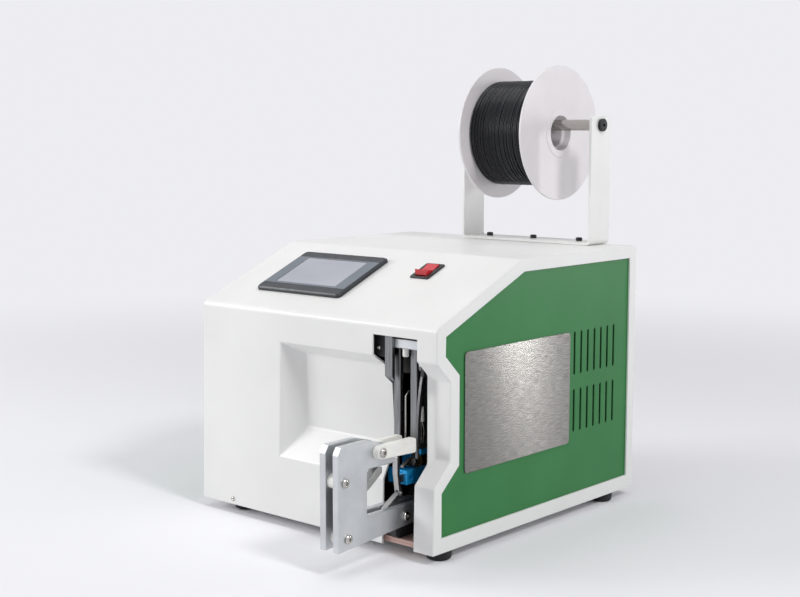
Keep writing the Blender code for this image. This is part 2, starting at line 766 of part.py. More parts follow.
def notch_shape(thickness=0.0):
    """Notch right of the slot, whose left lip comes forward beside the slot."""
    low_slope, low_shift = grown_wall(NOTCH_DEPTH, NOTCH_FLOOR_RISE,
                                      front_at(RECESS_LOW), thickness)
    high_slope, high_shift = grown_wall(NOTCH_DEPTH, NOTCH_ROOF_DROP,
                                        front_at(RECESS_HIGH), thickness)
    mouth = -OVERRUN
    loops = []
    for x, depth in ((WIRE_X + OVERRUN, NOTCH_LIP_DEPTH),
                     (SLOT_RIGHT, NOTCH_LIP_DEPTH),
                     (SLOT_RIGHT + NOTCH_LIP_WIDTH, NOTCH_DEPTH),
                     (HOUSING_RIGHT + OVERRUN, NOTCH_DEPTH)):
        back = depth + thickness
        short = NOTCH_DEPTH - depth
        low = RECESS_LOW + NOTCH_FLOOR_RISE + low_shift - low_slope * short
        high = RECESS_HIGH - NOTCH_ROOF_DROP - high_shift + high_slope * short
        run = back - mouth
        loops.append([(x, mouth, low - low_slope * run), (x, back, low),
                      (x, back, high), (x, mouth, high + high_slope * run)])
    return stack(loops)


def slot_outline():
    """Front view of the slot, open at the bottom."""
    return [(SLOT_FOOT_LEFT, -OVERRUN), (SLOT_RIGHT, -OVERRUN), (SLOT_RIGHT, SLOT_TOP),
            (SLOT_TOP_LEFT, SLOT_TOP), (SLOT_TOP_LEFT, SLOT_STEP_HIGH),
            (SLOT_NECK_LEFT, SLOT_STEP_LOW), (SLOT_FOOT_LEFT, RECESS_LOW)]


def bracket_screw_places():
    """Where the three screws hold the spool bracket."""
    return [BRACKET_X + step * BRACKET_SCREW_PITCH for step in (-1, 0, 1)]


def build_housing():
    """Shell of the front, slope, top and side frames."""
    bends = (0, 0, BACK_BEND, TOP_BEND, FRONT_BEND)
    corners = [(*point, bend) for point, bend in zip(side_profile(), bends)]
    outer = rounded(corners, BEND_STEPS)
    shell = make("housing_shell", prism(outer, HOUSING_LEFT, HOUSING_RIGHT, 'X'), WHITE_PAINT)
    cut(shell, "hand_recess", recess_shape())
    cut(shell, "side_notch", notch_shape())
    soften(shell, EDGE_BEND, 2, 25)

    inner = [(SHEET, -OVERRUN), (HOUSING_DEPTH + OVERRUN, -OVERRUN),
             (HOUSING_DEPTH + OVERRUN, HOUSING_HEIGHT - SHEET)]
    skin = offset(side_profile(), -SHEET)
    cavity_outline = inner + [skin[3], skin[4]]
    cavity = cut(shell, "cavity",
                 prism(cavity_outline, HOUSING_LEFT + SHEET, HOUSING_RIGHT - SHEET, 'X'))
    cut(cavity, "recess_skin", recess_shape(SHEET))
    cut(cavity, "notch_skin", notch_shape(SHEET))

    cut(shell, "slot", prism(slot_outline(), -OVERRUN, NOTCH_DEPTH + OVERRUN, 'Y'))
    right = right_window_outline()
    left = left_window_outline()
    cut(shell, "right_window", prism(right, HOUSING_RIGHT - SHEET - OVERRUN,
                                     HOUSING_RIGHT + OVERRUN, 'X'))
    cut(shell, "left_window", prism(left, HOUSING_LEFT - OVERRUN,
                                    HOUSING_LEFT + SHEET + OVERRUN, 'X'))

    screen = body_outline(SCREEN_X, SCREEN_UP, SCREEN_WIDTH, SCREEN_LENGTH,
                          SCREEN_BODY_INSET - GAP, SCREEN_CORNER)
    switch = body_outline(SWITCH_X, SWITCH_UP, SWITCH_WIDTH, SWITCH_LENGTH,
                          SWITCH_BODY_INSET - GAP, SWITCH_CORNER)
    cut(shell, "screen_hole", prism(screen, -OVERRUN, OVERRUN, 'Z'), parent=SLOPE)
    cut(shell, "switch_hole", prism(switch, -OVERRUN, OVERRUN, 'Z'), parent=SLOPE)
    holes = [rod(BRACKET_HOLE_RADIUS, HOUSING_HEIGHT - SHEET - OVERRUN,
                 HOUSING_HEIGHT + OVERRUN, 'Z', (x, AXLE_Y)) for x in bracket_screw_places()]
    cut(shell, "bracket_screw_holes", merge(holes))


def body_outline(x, up, width, length, inset, corner):
    """Round-cornered rectangle about a middle, drawn in by an inset."""
    half_width = width / 2 - inset
    half_length = length / 2 - inset
    return box_outline(x - half_width, x + half_width, up - half_length, up + half_length, corner)


def vent_shapes(x_low, x_high, row_heights):
    """Rows of upright slots with round ends, cut along X."""
    shapes = []
    for row in row_heights:
        for index in range(VENT_COUNT):
            y = VENT_FIRST + index * VENT_PITCH
            radius = VENT_WIDTH / 2
            reach = VENT_HEIGHT / 2 - radius
            outline = (arc((y, row + reach), radius, 0, 180, VENT_STEPS)
                       + arc((y, row - reach), radius, 180, 360, VENT_STEPS))
            shapes.append(prism(outline, x_low, x_high, 'X'))
    return shapes


def build_side_panels():
    """Green panels behind the windows of the side frames, and the bare name plate."""
    right = offset(right_window_outline(), PANEL_OVERLAP)
    left = offset(left_window_outline(), PANEL_OVERLAP)
    rows = (VENT_ROW_LOW, VENT_ROW_HIGH)
    panel = make("right_side_panel", prism(right, INSIDE_RIGHT - PANEL_SHEET, INSIDE_RIGHT, 'X'),
                 GREEN_PAINT)
    cut(panel, "right_vents", merge(vent_shapes(INSIDE_RIGHT - OVERRUN, INSIDE_RIGHT + OVERRUN, rows)))
    panel = make("left_side_panel", prism(left, INSIDE_LEFT, INSIDE_LEFT + PANEL_SHEET, 'X'),
                 GREEN_PAINT)
    cut(panel, "left_vents", merge(vent_shapes(INSIDE_LEFT - OVERRUN, INSIDE_LEFT + OVERRUN, rows)))

    outline = box_outline(PLATE_FRONT, PLATE_FRONT + PLATE_WIDTH,
                          PLATE_BOTTOM, PLATE_BOTTOM + PLATE_HEIGHT, PLATE_CORNER)
    make("name_plate", prism(outline, INSIDE_RIGHT + GAP, INSIDE_RIGHT + GAP + PLATE_SHEET, 'X'),
         BRUSHED_STEEL)


def build_base():
    """Folded pan that closes the bottom, with its front flange open at the slot."""
    front = SHEET + front_at(PAN_FLANGE) + GAP
    back = HOUSING_DEPTH - REAR_INSET - REAR_SHEET - GAP
    low, high = 0, PAN_FLANGE
    pan = make("base_pan", prism(box_outline(INSIDE_LEFT, INSIDE_RIGHT, front, back), low, high, 'Z'),
               WHITE_PAINT, smooth=False)
    hollow = box_outline(INSIDE_LEFT + PAN_SHEET, INSIDE_RIGHT - PAN_SHEET,
                         front + PAN_SHEET, back - PAN_SHEET)
    cut(pan, "pan_hollow", prism(hollow, PAN_SHEET, high + OVERRUN, 'Z'))
    gap_outline = box_outline(BOARD_LEFT - OVERRUN, HOUSING_RIGHT - SHEET - PAN_FLANGE,
                              -OVERRUN, front + PAN_SHEET + OVERRUN)
    cut(pan, "flange_gap", prism(gap_outline, PAN_SHEET, high + OVERRUN, 'Z'))
    notch_outline = box_outline(SLOT_FOOT_LEFT - OVERRUN, SLOT_RIGHT, -OVERRUN, PAN_NOTCH)
    cut(pan, "slot_notch", prism(notch_outline, -OVERRUN, high + OVERRUN, 'Z'))


def build_feet():
    """Rubber feet with a recess for their screws."""
    places = {"foot_front_left": (FOOT_LEFT_X, FOOT_FRONT_Y),
              "foot_front_right": (FOOT_RIGHT_X, FOOT_FRONT_Y),
              "foot_rear_left": (FOOT_LEFT_X, FOOT_BACK_Y),
              "foot_rear_right": (FOOT_RIGHT_X, FOOT_BACK_Y)}
    profile = [(0, -GAP), (FOOT_TOP_RADIUS, -GAP),
               (FOOT_TREAD_RADIUS + FOOT_ROUND / 2, FOOT_ROUND - FOOT_HEIGHT),
               (FOOT_TREAD_RADIUS - FOOT_ROUND, -FOOT_HEIGHT),
               (FOOT_RECESS_RADIUS, -FOOT_HEIGHT),
               (FOOT_RECESS_RADIUS, FOOT_RECESS_DEPTH - FOOT_HEIGHT),
               (0, FOOT_RECESS_DEPTH - FOOT_HEIGHT)]
    for name, place in places.items():
        make(name, turned(profile, 'Z', place, MIDDLE_ROUND), RUBBER)


def build_rear():
    """Rear panel with vent slots, and the mains inlet."""
    back = HOUSING_DEPTH - REAR_INSET
    front = back - REAR_SHEET
    panel = make("rear_panel",
                 prism(box_outline(INSIDE_LEFT, INSIDE_RIGHT, GAP, HOUSING_HEIGHT - SHEET - GAP),
                       front, back, 'Y'), WHITE_PAINT, smooth=False)
    shapes = []
    for index in range(VENT_COUNT):
        x = REAR_VENT_LEFT + index * VENT_PITCH
        outline = body_outline(x, REAR_VENT_MIDDLE, VENT_WIDTH, VENT_HEIGHT, 0, 0)
        shapes.append(prism(outline, front - OVERRUN, back + OVERRUN, 'Y'))
    inlet = body_outline(INLET_X, INLET_Z, INLET_WIDTH, INLET_HEIGHT, 0, INLET_CORNER)
    shapes.append(prism(offset(inlet, GAP), front - OVERRUN, back + OVERRUN, 'Y'))
    cut(panel, "rear_openings", merge(shapes))

    flange = offset(inlet, INLET_FLANGE)
    pocket = offset(inlet, -INLET_WALL)
    face = back + GAP + INLET_FLANGE_SHEET
    loops = [(inlet, back - INLET_DEPTH), (inlet, back + GAP), (flange, back + GAP),
             (flange, face), (pocket, face), (pocket, face - INLET_POCKET)]
    make("mains_inlet", stack([[on_axis('Y', point, y) for point in outline]
                               for outline, y in loops]), BLACK_PLASTIC, smooth=False)


# Screen and switch

def build_screen():
    """Touch screen: one moulded housing through the slope, and its glass."""
    def ring(inset, height, corner=SCREEN_CORNER):
        outline = body_outline(SCREEN_X, SCREEN_UP, SCREEN_WIDTH, SCREEN_LENGTH, inset, corner)
        return [on_axis('Z', point, height) for point in outline]

    def glass_ring(room, height):
        outline = body_outline(SCREEN_X, SCREEN_UP, GLASS_WIDTH, GLASS_LENGTH, -room, GLASS_CORNER)
        return [on_axis('Z', point, height) for point in outline]

    top = SCREEN_BEZEL + GAP
    pocket = top - GLASS_SHEET - GAP
    loops = [ring(SCREEN_BODY_INSET, -SCREEN_BODY_DEPTH), ring(SCREEN_BODY_INSET, GAP),
             ring(0, GAP), ring(0, top - SCREEN_EDGE), ring(SCREEN_EDGE, top),
             glass_ring(GAP, top), glass_ring(GAP, pocket)]
    make("screen_housing", stack(loops), SCREEN_PLASTIC, parent=SLOPE)
    make("screen_glass", stack([glass_ring(0, pocket + GAP), glass_ring(0, top)]),
         SCREEN_GLASS, parent=SLOPE)


def build_switch():
    """Rocker switch: body with a well, and the rocker on its pivot."""
    def ring(inset, height, corner=SWITCH_CORNER):
        outline = body_outline(SWITCH_X, SWITCH_UP, SWITCH_WIDTH, SWITCH_LENGTH, inset, corner)
        return [on_axis('Z', point, height) for point in outline]

    def well_ring(height):
        outline = body_outline(SWITCH_X, SWITCH_UP, SWITCH_WIDTH - 2 * SWITCH_SIDE_RIM,
                               SWITCH_LENGTH - 2 * SWITCH_RIM, 0, SWITCH_CORNER / 4)
        return [on_axis('Z', point, height) for point in outline]

    top = SWITCH_BEZEL + GAP
    edge = SWITCH_BEZEL / 4
    loops = [ring(SWITCH_BODY_INSET, -SWITCH_BODY_DEPTH), ring(SWITCH_BODY_INSET, GAP),
             ring(0, GAP), ring(0, top - edge), ring(edge, top),
             well_ring(top), well_ring(-SWITCH_WELL)]
    make("power_switch", stack(loops), BLACK_PLASTIC, parent=SLOPE)

    swept = SWITCH_LENGTH / 2 - SWITCH_RIM - RUN_GAP / 2
    half = math.sqrt(swept * swept - ROCKER_EAR * ROCKER_EAR)
    side = [(-half, ROCKER_EAR), (0, ROCKER_DIP), (half, ROCKER_EAR), (half, -ROCKER_SKIRT),
            (ROCKER_BELLY_HALF, -ROCKER_BELLY), (-ROCKER_BELLY_HALF, -ROCKER_BELLY),
            (-half, -ROCKER_SKIRT)]
    outline = [(SWITCH_UP + y, ROCKER_PIVOT + z) for y, z in side]
    half_width = SWITCH_WIDTH / 2 - SWITCH_SIDE_RIM - RUN_GAP / 2
    rocker = make("power_rocker",
                  prism(outline, SWITCH_X - half_width, SWITCH_X + half_width, 'X'),
                  RED_PLASTIC, pivot=(SWITCH_X, SWITCH_UP, ROCKER_PIVOT), parent=SLOPE)
    rocker.rotation_euler = (-math.radians(ROCKER_TILT), 0, 0)


# Spool stand

def build_bracket():
    """Bent U of sheet steel, with its screws and the shaft across it."""
    inner_left = BRACKET_LEFT + BRACKET_SHEET
    inner_right = BRACKET_RIGHT - BRACKET_SHEET
    floor = BRACKET_BASE + BRACKET_SHEET
    inner_bend = BRACKET_BEND - BRACKET_SHEET
    outline = rounded([(BRACKET_LEFT, BRACKET_TOP), (BRACKET_LEFT, BRACKET_BASE, BRACKET_BEND),
                       (BRACKET_RIGHT, BRACKET_BASE, BRACKET_BEND), (BRACKET_RIGHT, BRACKET_TOP),
                       (inner_right, BRACKET_TOP), (inner_right, floor, inner_bend),
                       (inner_left, floor, inner_bend), (inner_left, BRACKET_TOP)])
    bracket = make("spool_bracket", prism(outline, BRACKET_FRONT, BRACKET_BACK, 'Y'), WHITE_PAINT)
    keep = rounded([(BRACKET_FRONT, BRACKET_BASE - OVERRUN), (BRACKET_BACK, BRACKET_BASE - OVERRUN),
                    (BRACKET_BACK, BRACKET_TOP, BRACKET_CORNER),
                    (BRACKET_FRONT, BRACKET_TOP, BRACKET_CORNER)])
    cut(bracket, "round_corners",
        prism(keep, BRACKET_LEFT - OVERRUN, BRACKET_RIGHT + OVERRUN, 'X'), operation='INTERSECT')
    holes = [rod(BRACKET_HOLE_RADIUS, BRACKET_BASE - OVERRUN, floor + OVERRUN, 'Z', (x, AXLE_Y))
             for x in bracket_screw_places()]
    holes.append(rod(SHAFT_SCREW_RADIUS + GAP, BRACKET_LEFT - OVERRUN, BRACKET_RIGHT + OVERRUN,
                     'X', (AXLE_Y, SHAFT_Z)))
    cut(bracket, "bracket_holes", merge(holes))

    axle = (AXLE_Y, SHAFT_Z)
    left, right = inner_left + GAP, inner_right - GAP
    tap = SHAFT_SCREW_RADIUS + GAP
    depth = SHAFT_SCREW_LENGTH
    profile = [(0, left + depth), (tap, left + depth), (tap, left),
               (SHAFT_RADIUS - SHAFT_CHAMFER, left), (SHAFT_RADIUS, left + SHAFT_CHAMFER),
               (SHAFT_RADIUS, right - SHAFT_CHAMFER), (SHAFT_RADIUS - SHAFT_CHAMFER, right),
               (tap, right), (tap, right - depth), (0, right - depth)]
    make("spool_shaft", turned(profile, 'X', axle, MIDDLE_ROUND), BRIGHT_STEEL)
    for name, seat, towards in (("shaft_screw_left", BRACKET_LEFT - GAP, -1),
                                ("shaft_screw_right", BRACKET_RIGHT + GAP, 1)):
        make(name, screw_shape(SHAFT_SCREW_HEAD_RADIUS, SHAFT_SCREW_HEAD, SHAFT_SCREW_RADIUS,
                               SHAFT_SCREW_LENGTH, 'X', axle, seat, towards,
                               dome=SHAFT_SCREW_HEAD / 3), BLACK_STEEL)


def spool_profile():
    """Closed profile of the spool: two flanges on a hub with a stepped bore."""
    half = [(BORE_RADIUS, COUNTERBORE_DEPTH), (COUNTERBORE_RADIUS, COUNTERBORE_DEPTH),
            (COUNTERBORE_RADIUS, -BOSS_STEP), (BOSS_RADIUS, -BOSS_STEP), (BOSS_RADIUS, 0),
            (SPOOL_RADIUS - FLANGE_ROUND, 0), (SPOOL_RADIUS, FLANGE_ROUND),
            (SPOOL_RADIUS, FLANGE_SHEET - FLANGE_ROUND),
            (SPOOL_RADIUS - FLANGE_ROUND, FLANGE_SHEET), (HUB_RADIUS, FLANGE_SHEET)]
    left = [(radius, SPOOL_LEFT + along) for radius, along in half]
    right = [(radius, SPOOL_RIGHT - along) for radius, along in reversed(half)]
    return left + right


def wire_route():
    """Middle line of the wound layer: one helix between the flanges."""
    radius = WOUND_RADIUS - WIRE_RADIUS
    left = SPOOL_LEFT + FLANGE_SHEET + GAP
    right = SPOOL_RIGHT - FLANGE_SHEET - GAP
    ease = 2 * WIRE_RADIUS
    run = right - left - 2 * ease
    total = WIRE_LOOPS * WIRE_POINTS
    points = [(left, 0.0), (left + ease / 2, 0.0)]
    for step in range(total + 1):
        points.append((left + ease + run * step / total, 2 * math.pi * (step + 1) / WIRE_POINTS))
    last = 2 * math.pi * (total + 2) / WIRE_POINTS
    points += [(right - ease / 2, last), (right, last)]
    return [(x, AXLE_Y + radius * math.sin(angle), SPOOL_Z + radius * math.cos(angle))
            for x, angle in points]


def least_gap(route, radius):
    """Least distance between the surfaces of neighbouring loops."""
    least = None
    for index, point in enumerate(route):
        nearby = range(index + WIRE_POINTS // 2, min(index + 2 * WIRE_POINTS, len(route)))
        for other in nearby:
            gap = (Vector(point) - Vector(route[other])).length - 2 * radius
            least = gap if least is None else min(least, gap)
    return least


def build_spool():
    """Spool hanging on the shaft, its pack of wire and the outer layer of turns."""
    centre = (SPOOL_X, AXLE_Y, SPOOL_Z)
    axle = (AXLE_Y, SPOOL_Z)
    make("spool", turned(spool_profile(), 'X', axle, LARGE_ROUND), SPOOL_PLASTIC, pivot=centre)
    left = SPOOL_LEFT + FLANGE_SHEET + GAP
    right = SPOOL_RIGHT - FLANGE_SHEET - GAP
    core = WOUND_RADIUS - 2 * WIRE_RADIUS - CORE_CLEARANCE
    profile = [(HUB_RADIUS + GAP, left), (core, left), (core, right), (HUB_RADIUS + GAP, right)]
    make("wire_pack", turned(profile, 'X', axle, LARGE_ROUND), WIRE_PLASTIC, pivot=centre)

    route = wire_route()
    curve = bpy.data.curves.new("wire_turns", 'CURVE')
    curve.dimensions = '3D'
    curve.bevel_depth = WIRE_RADIUS
    curve.bevel_resolution = 1
    curve.use_fill_caps = True
    spline = curve.splines.new('POLY')
    spline.points.add(len(route) - 1)
    for point, place in zip(spline.points, route):
        point.co = (*(Vector(place) - Vector(centre)), 1)
    curve.materials.append(WIRE_PLASTIC)
    turns = bpy.data.objects.new("wire_turns", curve)
    turns.location = centre
    turns.parent = ROOT
    bpy.context.collection.objects.link(turns)
    print("least gap between wire turns, mm:", round(least_gap(route, WIRE_RADIUS) * 1000, 3))


# Guide plates, spacers and screws

def guide_outline():
    """Side view of a guide plate: a C that opens towards the machine."""
    return rounded([(GUIDE_FRONT, GUIDE_BOTTOM), (ARM_END, ARM_END_BOTTOM),
                    (ARM_END, WINDOW_BOTTOM), (WINDOW_FRONT, WINDOW_BOTTOM, WINDOW_ROUND),
                    (WINDOW_FRONT, WINDOW_TOP, WINDOW_ROUND), (GUIDE_TIP_Y, WINDOW_TOP),
                    (GUIDE_TIP_Y, GUIDE_TIP_Z), (GUIDE_SHOULDER_Y, GUIDE_SHOULDER_Z),
                    (GUIDE_TOP_END, GUIDE_TOP), (GUIDE_FRONT + GUIDE_NOSE_RUN, GUIDE_TOP),
                    (GUIDE_FRONT, GUIDE_TOP - GUIDE_NOSE_DROP)])


def plate_screws():
    """Names and places of the three screws that clamp the guide plates."""
    return {"upper": (SCREW_UPPER_Y, SCREW_UPPER_Z), "lower": (SCREW_LOWER_Y, SCREW_LOWER_Z),
            "arm": (SCREW_ARM_Y, SCREW_ARM_Z)}


def build_guides():
    """Two aluminium plates held apart by spacers and clamped by screws."""
    places = list(plate_screws().values()) + [(GATE_Y, GATE_Z)]
    hole = GUIDE_SCREW_RADIUS + GAP
    for name, low, high in (("near_guide_plate", NEAR_INSIDE, NEAR_OUTSIDE),
                            ("far_guide_plate", FAR_OUTSIDE, FAR_INSIDE)):
        plate = make(name, prism(guide_outline(), low, high, 'X'), SATIN_ALUMINIUM)
        soften(plate, GUIDE_EDGE, 1, 30)
        cut(plate, f"{name}_holes",
            merge([rod(hole, low - OVERRUN, high + OVERRUN, 'X', place) for place in places]))
    for name, place in plate_screws().items():
        make(f"guide_screw_{name}",
             screw_shape(GUIDE_SCREW_HEAD_RADIUS, GUIDE_SCREW_HEAD, GUIDE_SCREW_RADIUS,
                         GUIDE_SPACE + 2 * GUIDE_SHEET - GUIDE_SCREW_HEAD, 'X', place,
                         NEAR_OUTSIDE + GAP, 1, dome=GUIDE_SCREW_HEAD / 2), BRIGHT_STEEL)
        low, high = FAR_INSIDE + GAP, NEAR_INSIDE - GAP
        if name == "arm":
            continue
        profile = [(hole, low), (SPACER_RADIUS, low), (SPACER_RADIUS, high), (hole, high)]
        make(f"guide_spacer_{name}", turned(profile, 'X', place, MIDDLE_ROUND), NYLON)


def gate_outline():
    """Side view of a gate lever: a round eye with a tail that grows a little wider."""
    eye = arc((GATE_Y, GATE_Z), GATE_EYE_RADIUS, 90, 270, 12)
    tail = rounded([eye[-1], (GATE_END, GATE_END_BOTTOM, GATE_END_ROUND),
                    (GATE_END, GATE_END_TOP, GATE_END_ROUND), eye[0]])
    return eye[1:-1] + tail


def build_gate():
    """Nylon gate levers on either side of the near plate, on one long screw."""
    pivot = (GATE_Y, GATE_Z)
    hole = GUIDE_SCREW_RADIUS + GAP
    outer_low = NEAR_OUTSIDE + GAP
    outer_high = outer_low + GATE_SHEET
    lever = make("outer_gate_lever", prism(gate_outline(), outer_low, outer_high, 'X'), NYLON,
                 pivot=((outer_low + outer_high) / 2, *pivot))
    soften(lever, GATE_EDGE, 2, 30)
    cut(lever, "outer_gate_hole", rod(hole, outer_low - OVERRUN, outer_high + OVERRUN, 'X', pivot))

    low, high = FAR_INSIDE + GAP, NEAR_INSIDE - GAP
    lever = make("inner_gate_lever", prism(gate_outline(), low, high, 'X'), NYLON,
                 pivot=((low + high) / 2, *pivot))
    relief = box_outline(GATE_NECK_Y, GATE_END + OVERRUN,
                         GATE_END_BOTTOM - OVERRUN, GATE_END_TOP + OVERRUN)
    cut(lever, "tail_relief", prism(relief, low + GATE_TAIL_SHEET, high + OVERRUN, 'X'))
    cut(lever, "inner_gate_hole", rod(hole, low - OVERRUN, high + OVERRUN, 'X', pivot))

    seat = outer_high + GAP
    make("gate_pivot_screw",
         screw_shape(GUIDE_SCREW_HEAD_RADIUS, GUIDE_SCREW_HEAD, GUIDE_SCREW_RADIUS,
                     seat - FAR_OUTSIDE - GUIDE_SCREW_HEAD, 'X', pivot, seat, 1,
                     dome=GUIDE_SCREW_HEAD / 2), BRIGHT_STEEL)


# Wire guides

def track_window():
    """Inner edge of the front wire guide, from its upper tip round to its lower end."""
    return [(TRACK_TIP_Y, TRACK_TIP_LOW), (TRACK_BEND_Y, TRACK_BEND_Z),
            (TRACK_FRONT + TRACK_CORNER, TRACK_BEND_Z - TRACK_CORNER),
            (TRACK_FRONT, TRACK_FRONT_TOP), (TRACK_FRONT, TRACK_FLOOR + TRACK_CORNER),
            (TRACK_FRONT + TRACK_CORNER, TRACK_FLOOR), (TRACK_BACK, TRACK_FLOOR)]


def build_wire_guides():
    """Steel track between the plates, the upright link and the swinging finger."""
    low, high = FAR_INSIDE + GAP, NEAR_INSIDE - GAP
    inner = track_window()
    closed = inner + [(TRACK_BACK, TRACK_TIP_LOW)]
    outer = offset(closed, TRACK_WALL)[:len(inner)]
    outer[-1] = (TRACK_BACK, TRACK_FLOOR - TRACK_WALL)
    outer[0] = (TRACK_TIP_Y - TRACK_TIP_LENGTH, TRACK_TIP_HIGH + TRACK_WALL / 4)
    tip = [(TRACK_TIP_Y, TRACK_TIP_HIGH)]
    outline = outer + inner[::-1] + tip
    track = make("front_wire_guide", prism(outline, low, high, 'X'), BRIGHT_STEEL, smooth=False)
    groove = offset(closed, TRACK_GROOVE_DEPTH)
    groove[-1] = (0, groove[-1][1])
    groove[-2] = (0, groove[-2][1])
    cut(track, "wire_groove", prism(groove, WIRE_X - TRACK_GROOVE / 2,
                                    WIRE_X + TRACK_GROOVE / 2, 'X'))

    link_low, link_high = WIRE_X - LINK_SHEET / 2, WIRE_X + LINK_SHEET / 2
    front = PIN_Y - LINK_FOOT_WIDTH / 2
    back = PIN_Y + LINK_FOOT_WIDTH / 2
    stem_low = LINK_STEM_Z - LINK_STEM_HEIGHT / 2
    stem_high = LINK_STEM_Z + LINK_STEM_HEIGHT / 2
    top_back = LINK_TOP_Y + LINK_WIDTH / 2
    foot = PIN_Z - LINK_FOOT_WIDTH / 2
    outline = rounded([(front, foot, LINK_FOOT_WIDTH / 3), (back, foot, LINK_FOOT_WIDTH / 3),
                       (top_back + LINK_WIDTH / 3, stem_low), (HEAD_FRONT - GAP, stem_low),
                       (HEAD_FRONT - GAP, stem_high), (top_back, stem_high),
                       (top_back, LINK_TOP_Z, LINK_WIDTH / 3),
                       (top_back - LINK_WIDTH, LINK_TOP_Z, LINK_WIDTH / 3),
                       (top_back - LINK_WIDTH, LINK_KNEE_Z)])
    link = make("rear_wire_guide", prism(outline, link_low, link_high, 'X'), BRIGHT_STEEL)
    slit = box_outline(front - OVERRUN, back + OVERRUN, foot - OVERRUN,
                       PIN_Z + FINGER_EYE_RADIUS + RUN_GAP)
    half_slit = FINGER_EYE_SHEET / 2 + GAP
    cut(link, "link_fork", prism(slit, WIRE_X - half_slit, WIRE_X + half_slit, 'X'))
    profile = [(0, link_low + GAP), (PIN_RADIUS, link_low + GAP), (PIN_RADIUS, link_high),
               (PIN_HEAD_RADIUS, link_high), (PIN_HEAD_RADIUS, link_high + PIN_HEAD),
               (0, link_high + PIN_HEAD)]
    cut(link, "link_pin", turned(profile, 'X', (PIN_Y, PIN_Z), SMALL_ROUND), operation='UNION')

    pin = Vector((PIN_Y, PIN_Z))
    tip = Vector((FINGER_TIP_Y, FINGER_TIP_Z))
    along = (tip - pin).normalized()
    across = Vector((along.y, -along.x)) * (FINGER_TIP_WIDTH / 2)
    heading = math.degrees(math.atan2(along.y, along.x))
    outline = arc(pin, FINGER_EYE_RADIUS, heading + 90, heading + 270, 10)
    outline += [tuple(tip + across), tuple(tip - across)]
    finger = make("swing_wire_guide", prism(outline, link_low, link_high, 'X'),
                  BRIGHT_STEEL, pivot=(WIRE_X, PIN_Y, PIN_Z))
    room = FINGER_ROOM_RADIUS
    eye_half = FINGER_EYE_SHEET / 2
    cheeks = [rod(room, WIRE_X + eye_half, link_high + OVERRUN, 'X', (PIN_Y, PIN_Z), MIDDLE_ROUND),
              rod(room, link_low - OVERRUN, WIRE_X - eye_half, 'X', (PIN_Y, PIN_Z), MIDDLE_ROUND)]
    cut(finger, "finger_cheeks", merge(cheeks))
    cut(finger, "finger_pin_hole", rod(PIN_RADIUS + GAP, link_low - OVERRUN, link_high + OVERRUN,
                                       'X', (PIN_Y, PIN_Z)))


# Twist head

def build_head():
    """Blue block with its bearing, and the spindle with its hook and belt pulley."""
    outline = [(HEAD_FRONT, HEAD_BOTTOM), (HEAD_BACK, HEAD_BOTTOM), (HEAD_BACK, HEAD_TOP),
               (HEAD_UPRIGHT_FRONT, HEAD_TOP), (HEAD_UPRIGHT_FRONT, HEAD_DECK),
               (HEAD_FRONT, HEAD_DECK)]
    block = make("twist_head_block", prism(outline, HEAD_LEFT, HEAD_RIGHT, 'X'), BLUE_ANODISED)
    soften(block, HEAD_EDGE, 1, 30)
    axle = (WIRE_X, SPINDLE_Z)
    cut(block, "bearing_bore", rod(BEARING_RADIUS + GAP, HEAD_UPRIGHT_FRONT - OVERRUN,
                                   HEAD_BACK + OVERRUN, 'Y', axle, MIDDLE_ROUND))
    tap_z = (HEAD_BOTTOM + HEAD_DECK) / 2
    cut(block, "side_tap", rod(HEAD_TAP_RADIUS, HEAD_RIGHT - HEAD_TAP_DEPTH,
                               HEAD_RIGHT + OVERRUN, 'X', (HEAD_TAP_Y, tap_z)))

    bore = SPINDLE_RADIUS + GAP
    face = HEAD_BACK + GAP
    profile = [(bore, HEAD_UPRIGHT_FRONT), (BEARING_RADIUS, HEAD_UPRIGHT_FRONT),
               (BEARING_RADIUS, face), (BEARING_FLANGE_RADIUS, face),
               (BEARING_FLANGE_RADIUS, face + BEARING_FLANGE), (bore, face + BEARING_FLANGE)]
    make("spindle_bearing", turned(profile, 'Y', axle, MIDDLE_ROUND), BRONZE)

    pulley = pulley_profile(SPINDLE_RADIUS)
    profile = [(0, SPINDLE_NOSE), (SPINDLE_RADIUS - GUIDE_EDGE, SPINDLE_NOSE),
               (SPINDLE_RADIUS, SPINDLE_NOSE + GUIDE_EDGE), *pulley[:-1], (0, pulley[-1][1])]
    spindle = make("twist_spindle", turned(profile, 'Y', axle, MIDDLE_ROUND), BRIGHT_STEEL,
                   pivot=(WIRE_X, SPINDLE_NOSE, SPINDLE_Z))
    reach = HOOK_REACH
    length = SPINDLE_NOSE - HOOK_TIP
    fin_shares = [(-0.1, -0.72), (0.40, -0.88), (0.50, -0.50), (0.72, -0.40), (0.80, -0.80),
                  (1.0, -0.74), (0.98, -0.40), (0.10, 0.96), (-0.1, 0.90)]
    outline = [(SPINDLE_NOSE - length * run, SPINDLE_Z + reach * rise) for run, rise in fin_shares]
    cut(spindle, "twist_hook", prism(outline, WIRE_X - HOOK_SHEET / 2, WIRE_X + HOOK_SHEET / 2, 'X'),
        operation='UNION')


def pulley_profile(bore):
    """Flanged pulley round a bore, its belt track between the flanges."""
    front = PULLEY_FRONT
    track = front + PULLEY_FLANGE
    track_end = track + BELT_WIDTH + 2 * GAP
    return [(bore, front), (PULLEY_FLANGE_RADIUS, front), (PULLEY_FLANGE_RADIUS, track),
            (PULLEY_RADIUS, track), (PULLEY_RADIUS, track_end), (PULLEY_FLANGE_RADIUS, track_end),
            (PULLEY_FLANGE_RADIUS, track_end + PULLEY_FLANGE), (bore, track_end + PULLEY_FLANGE)]


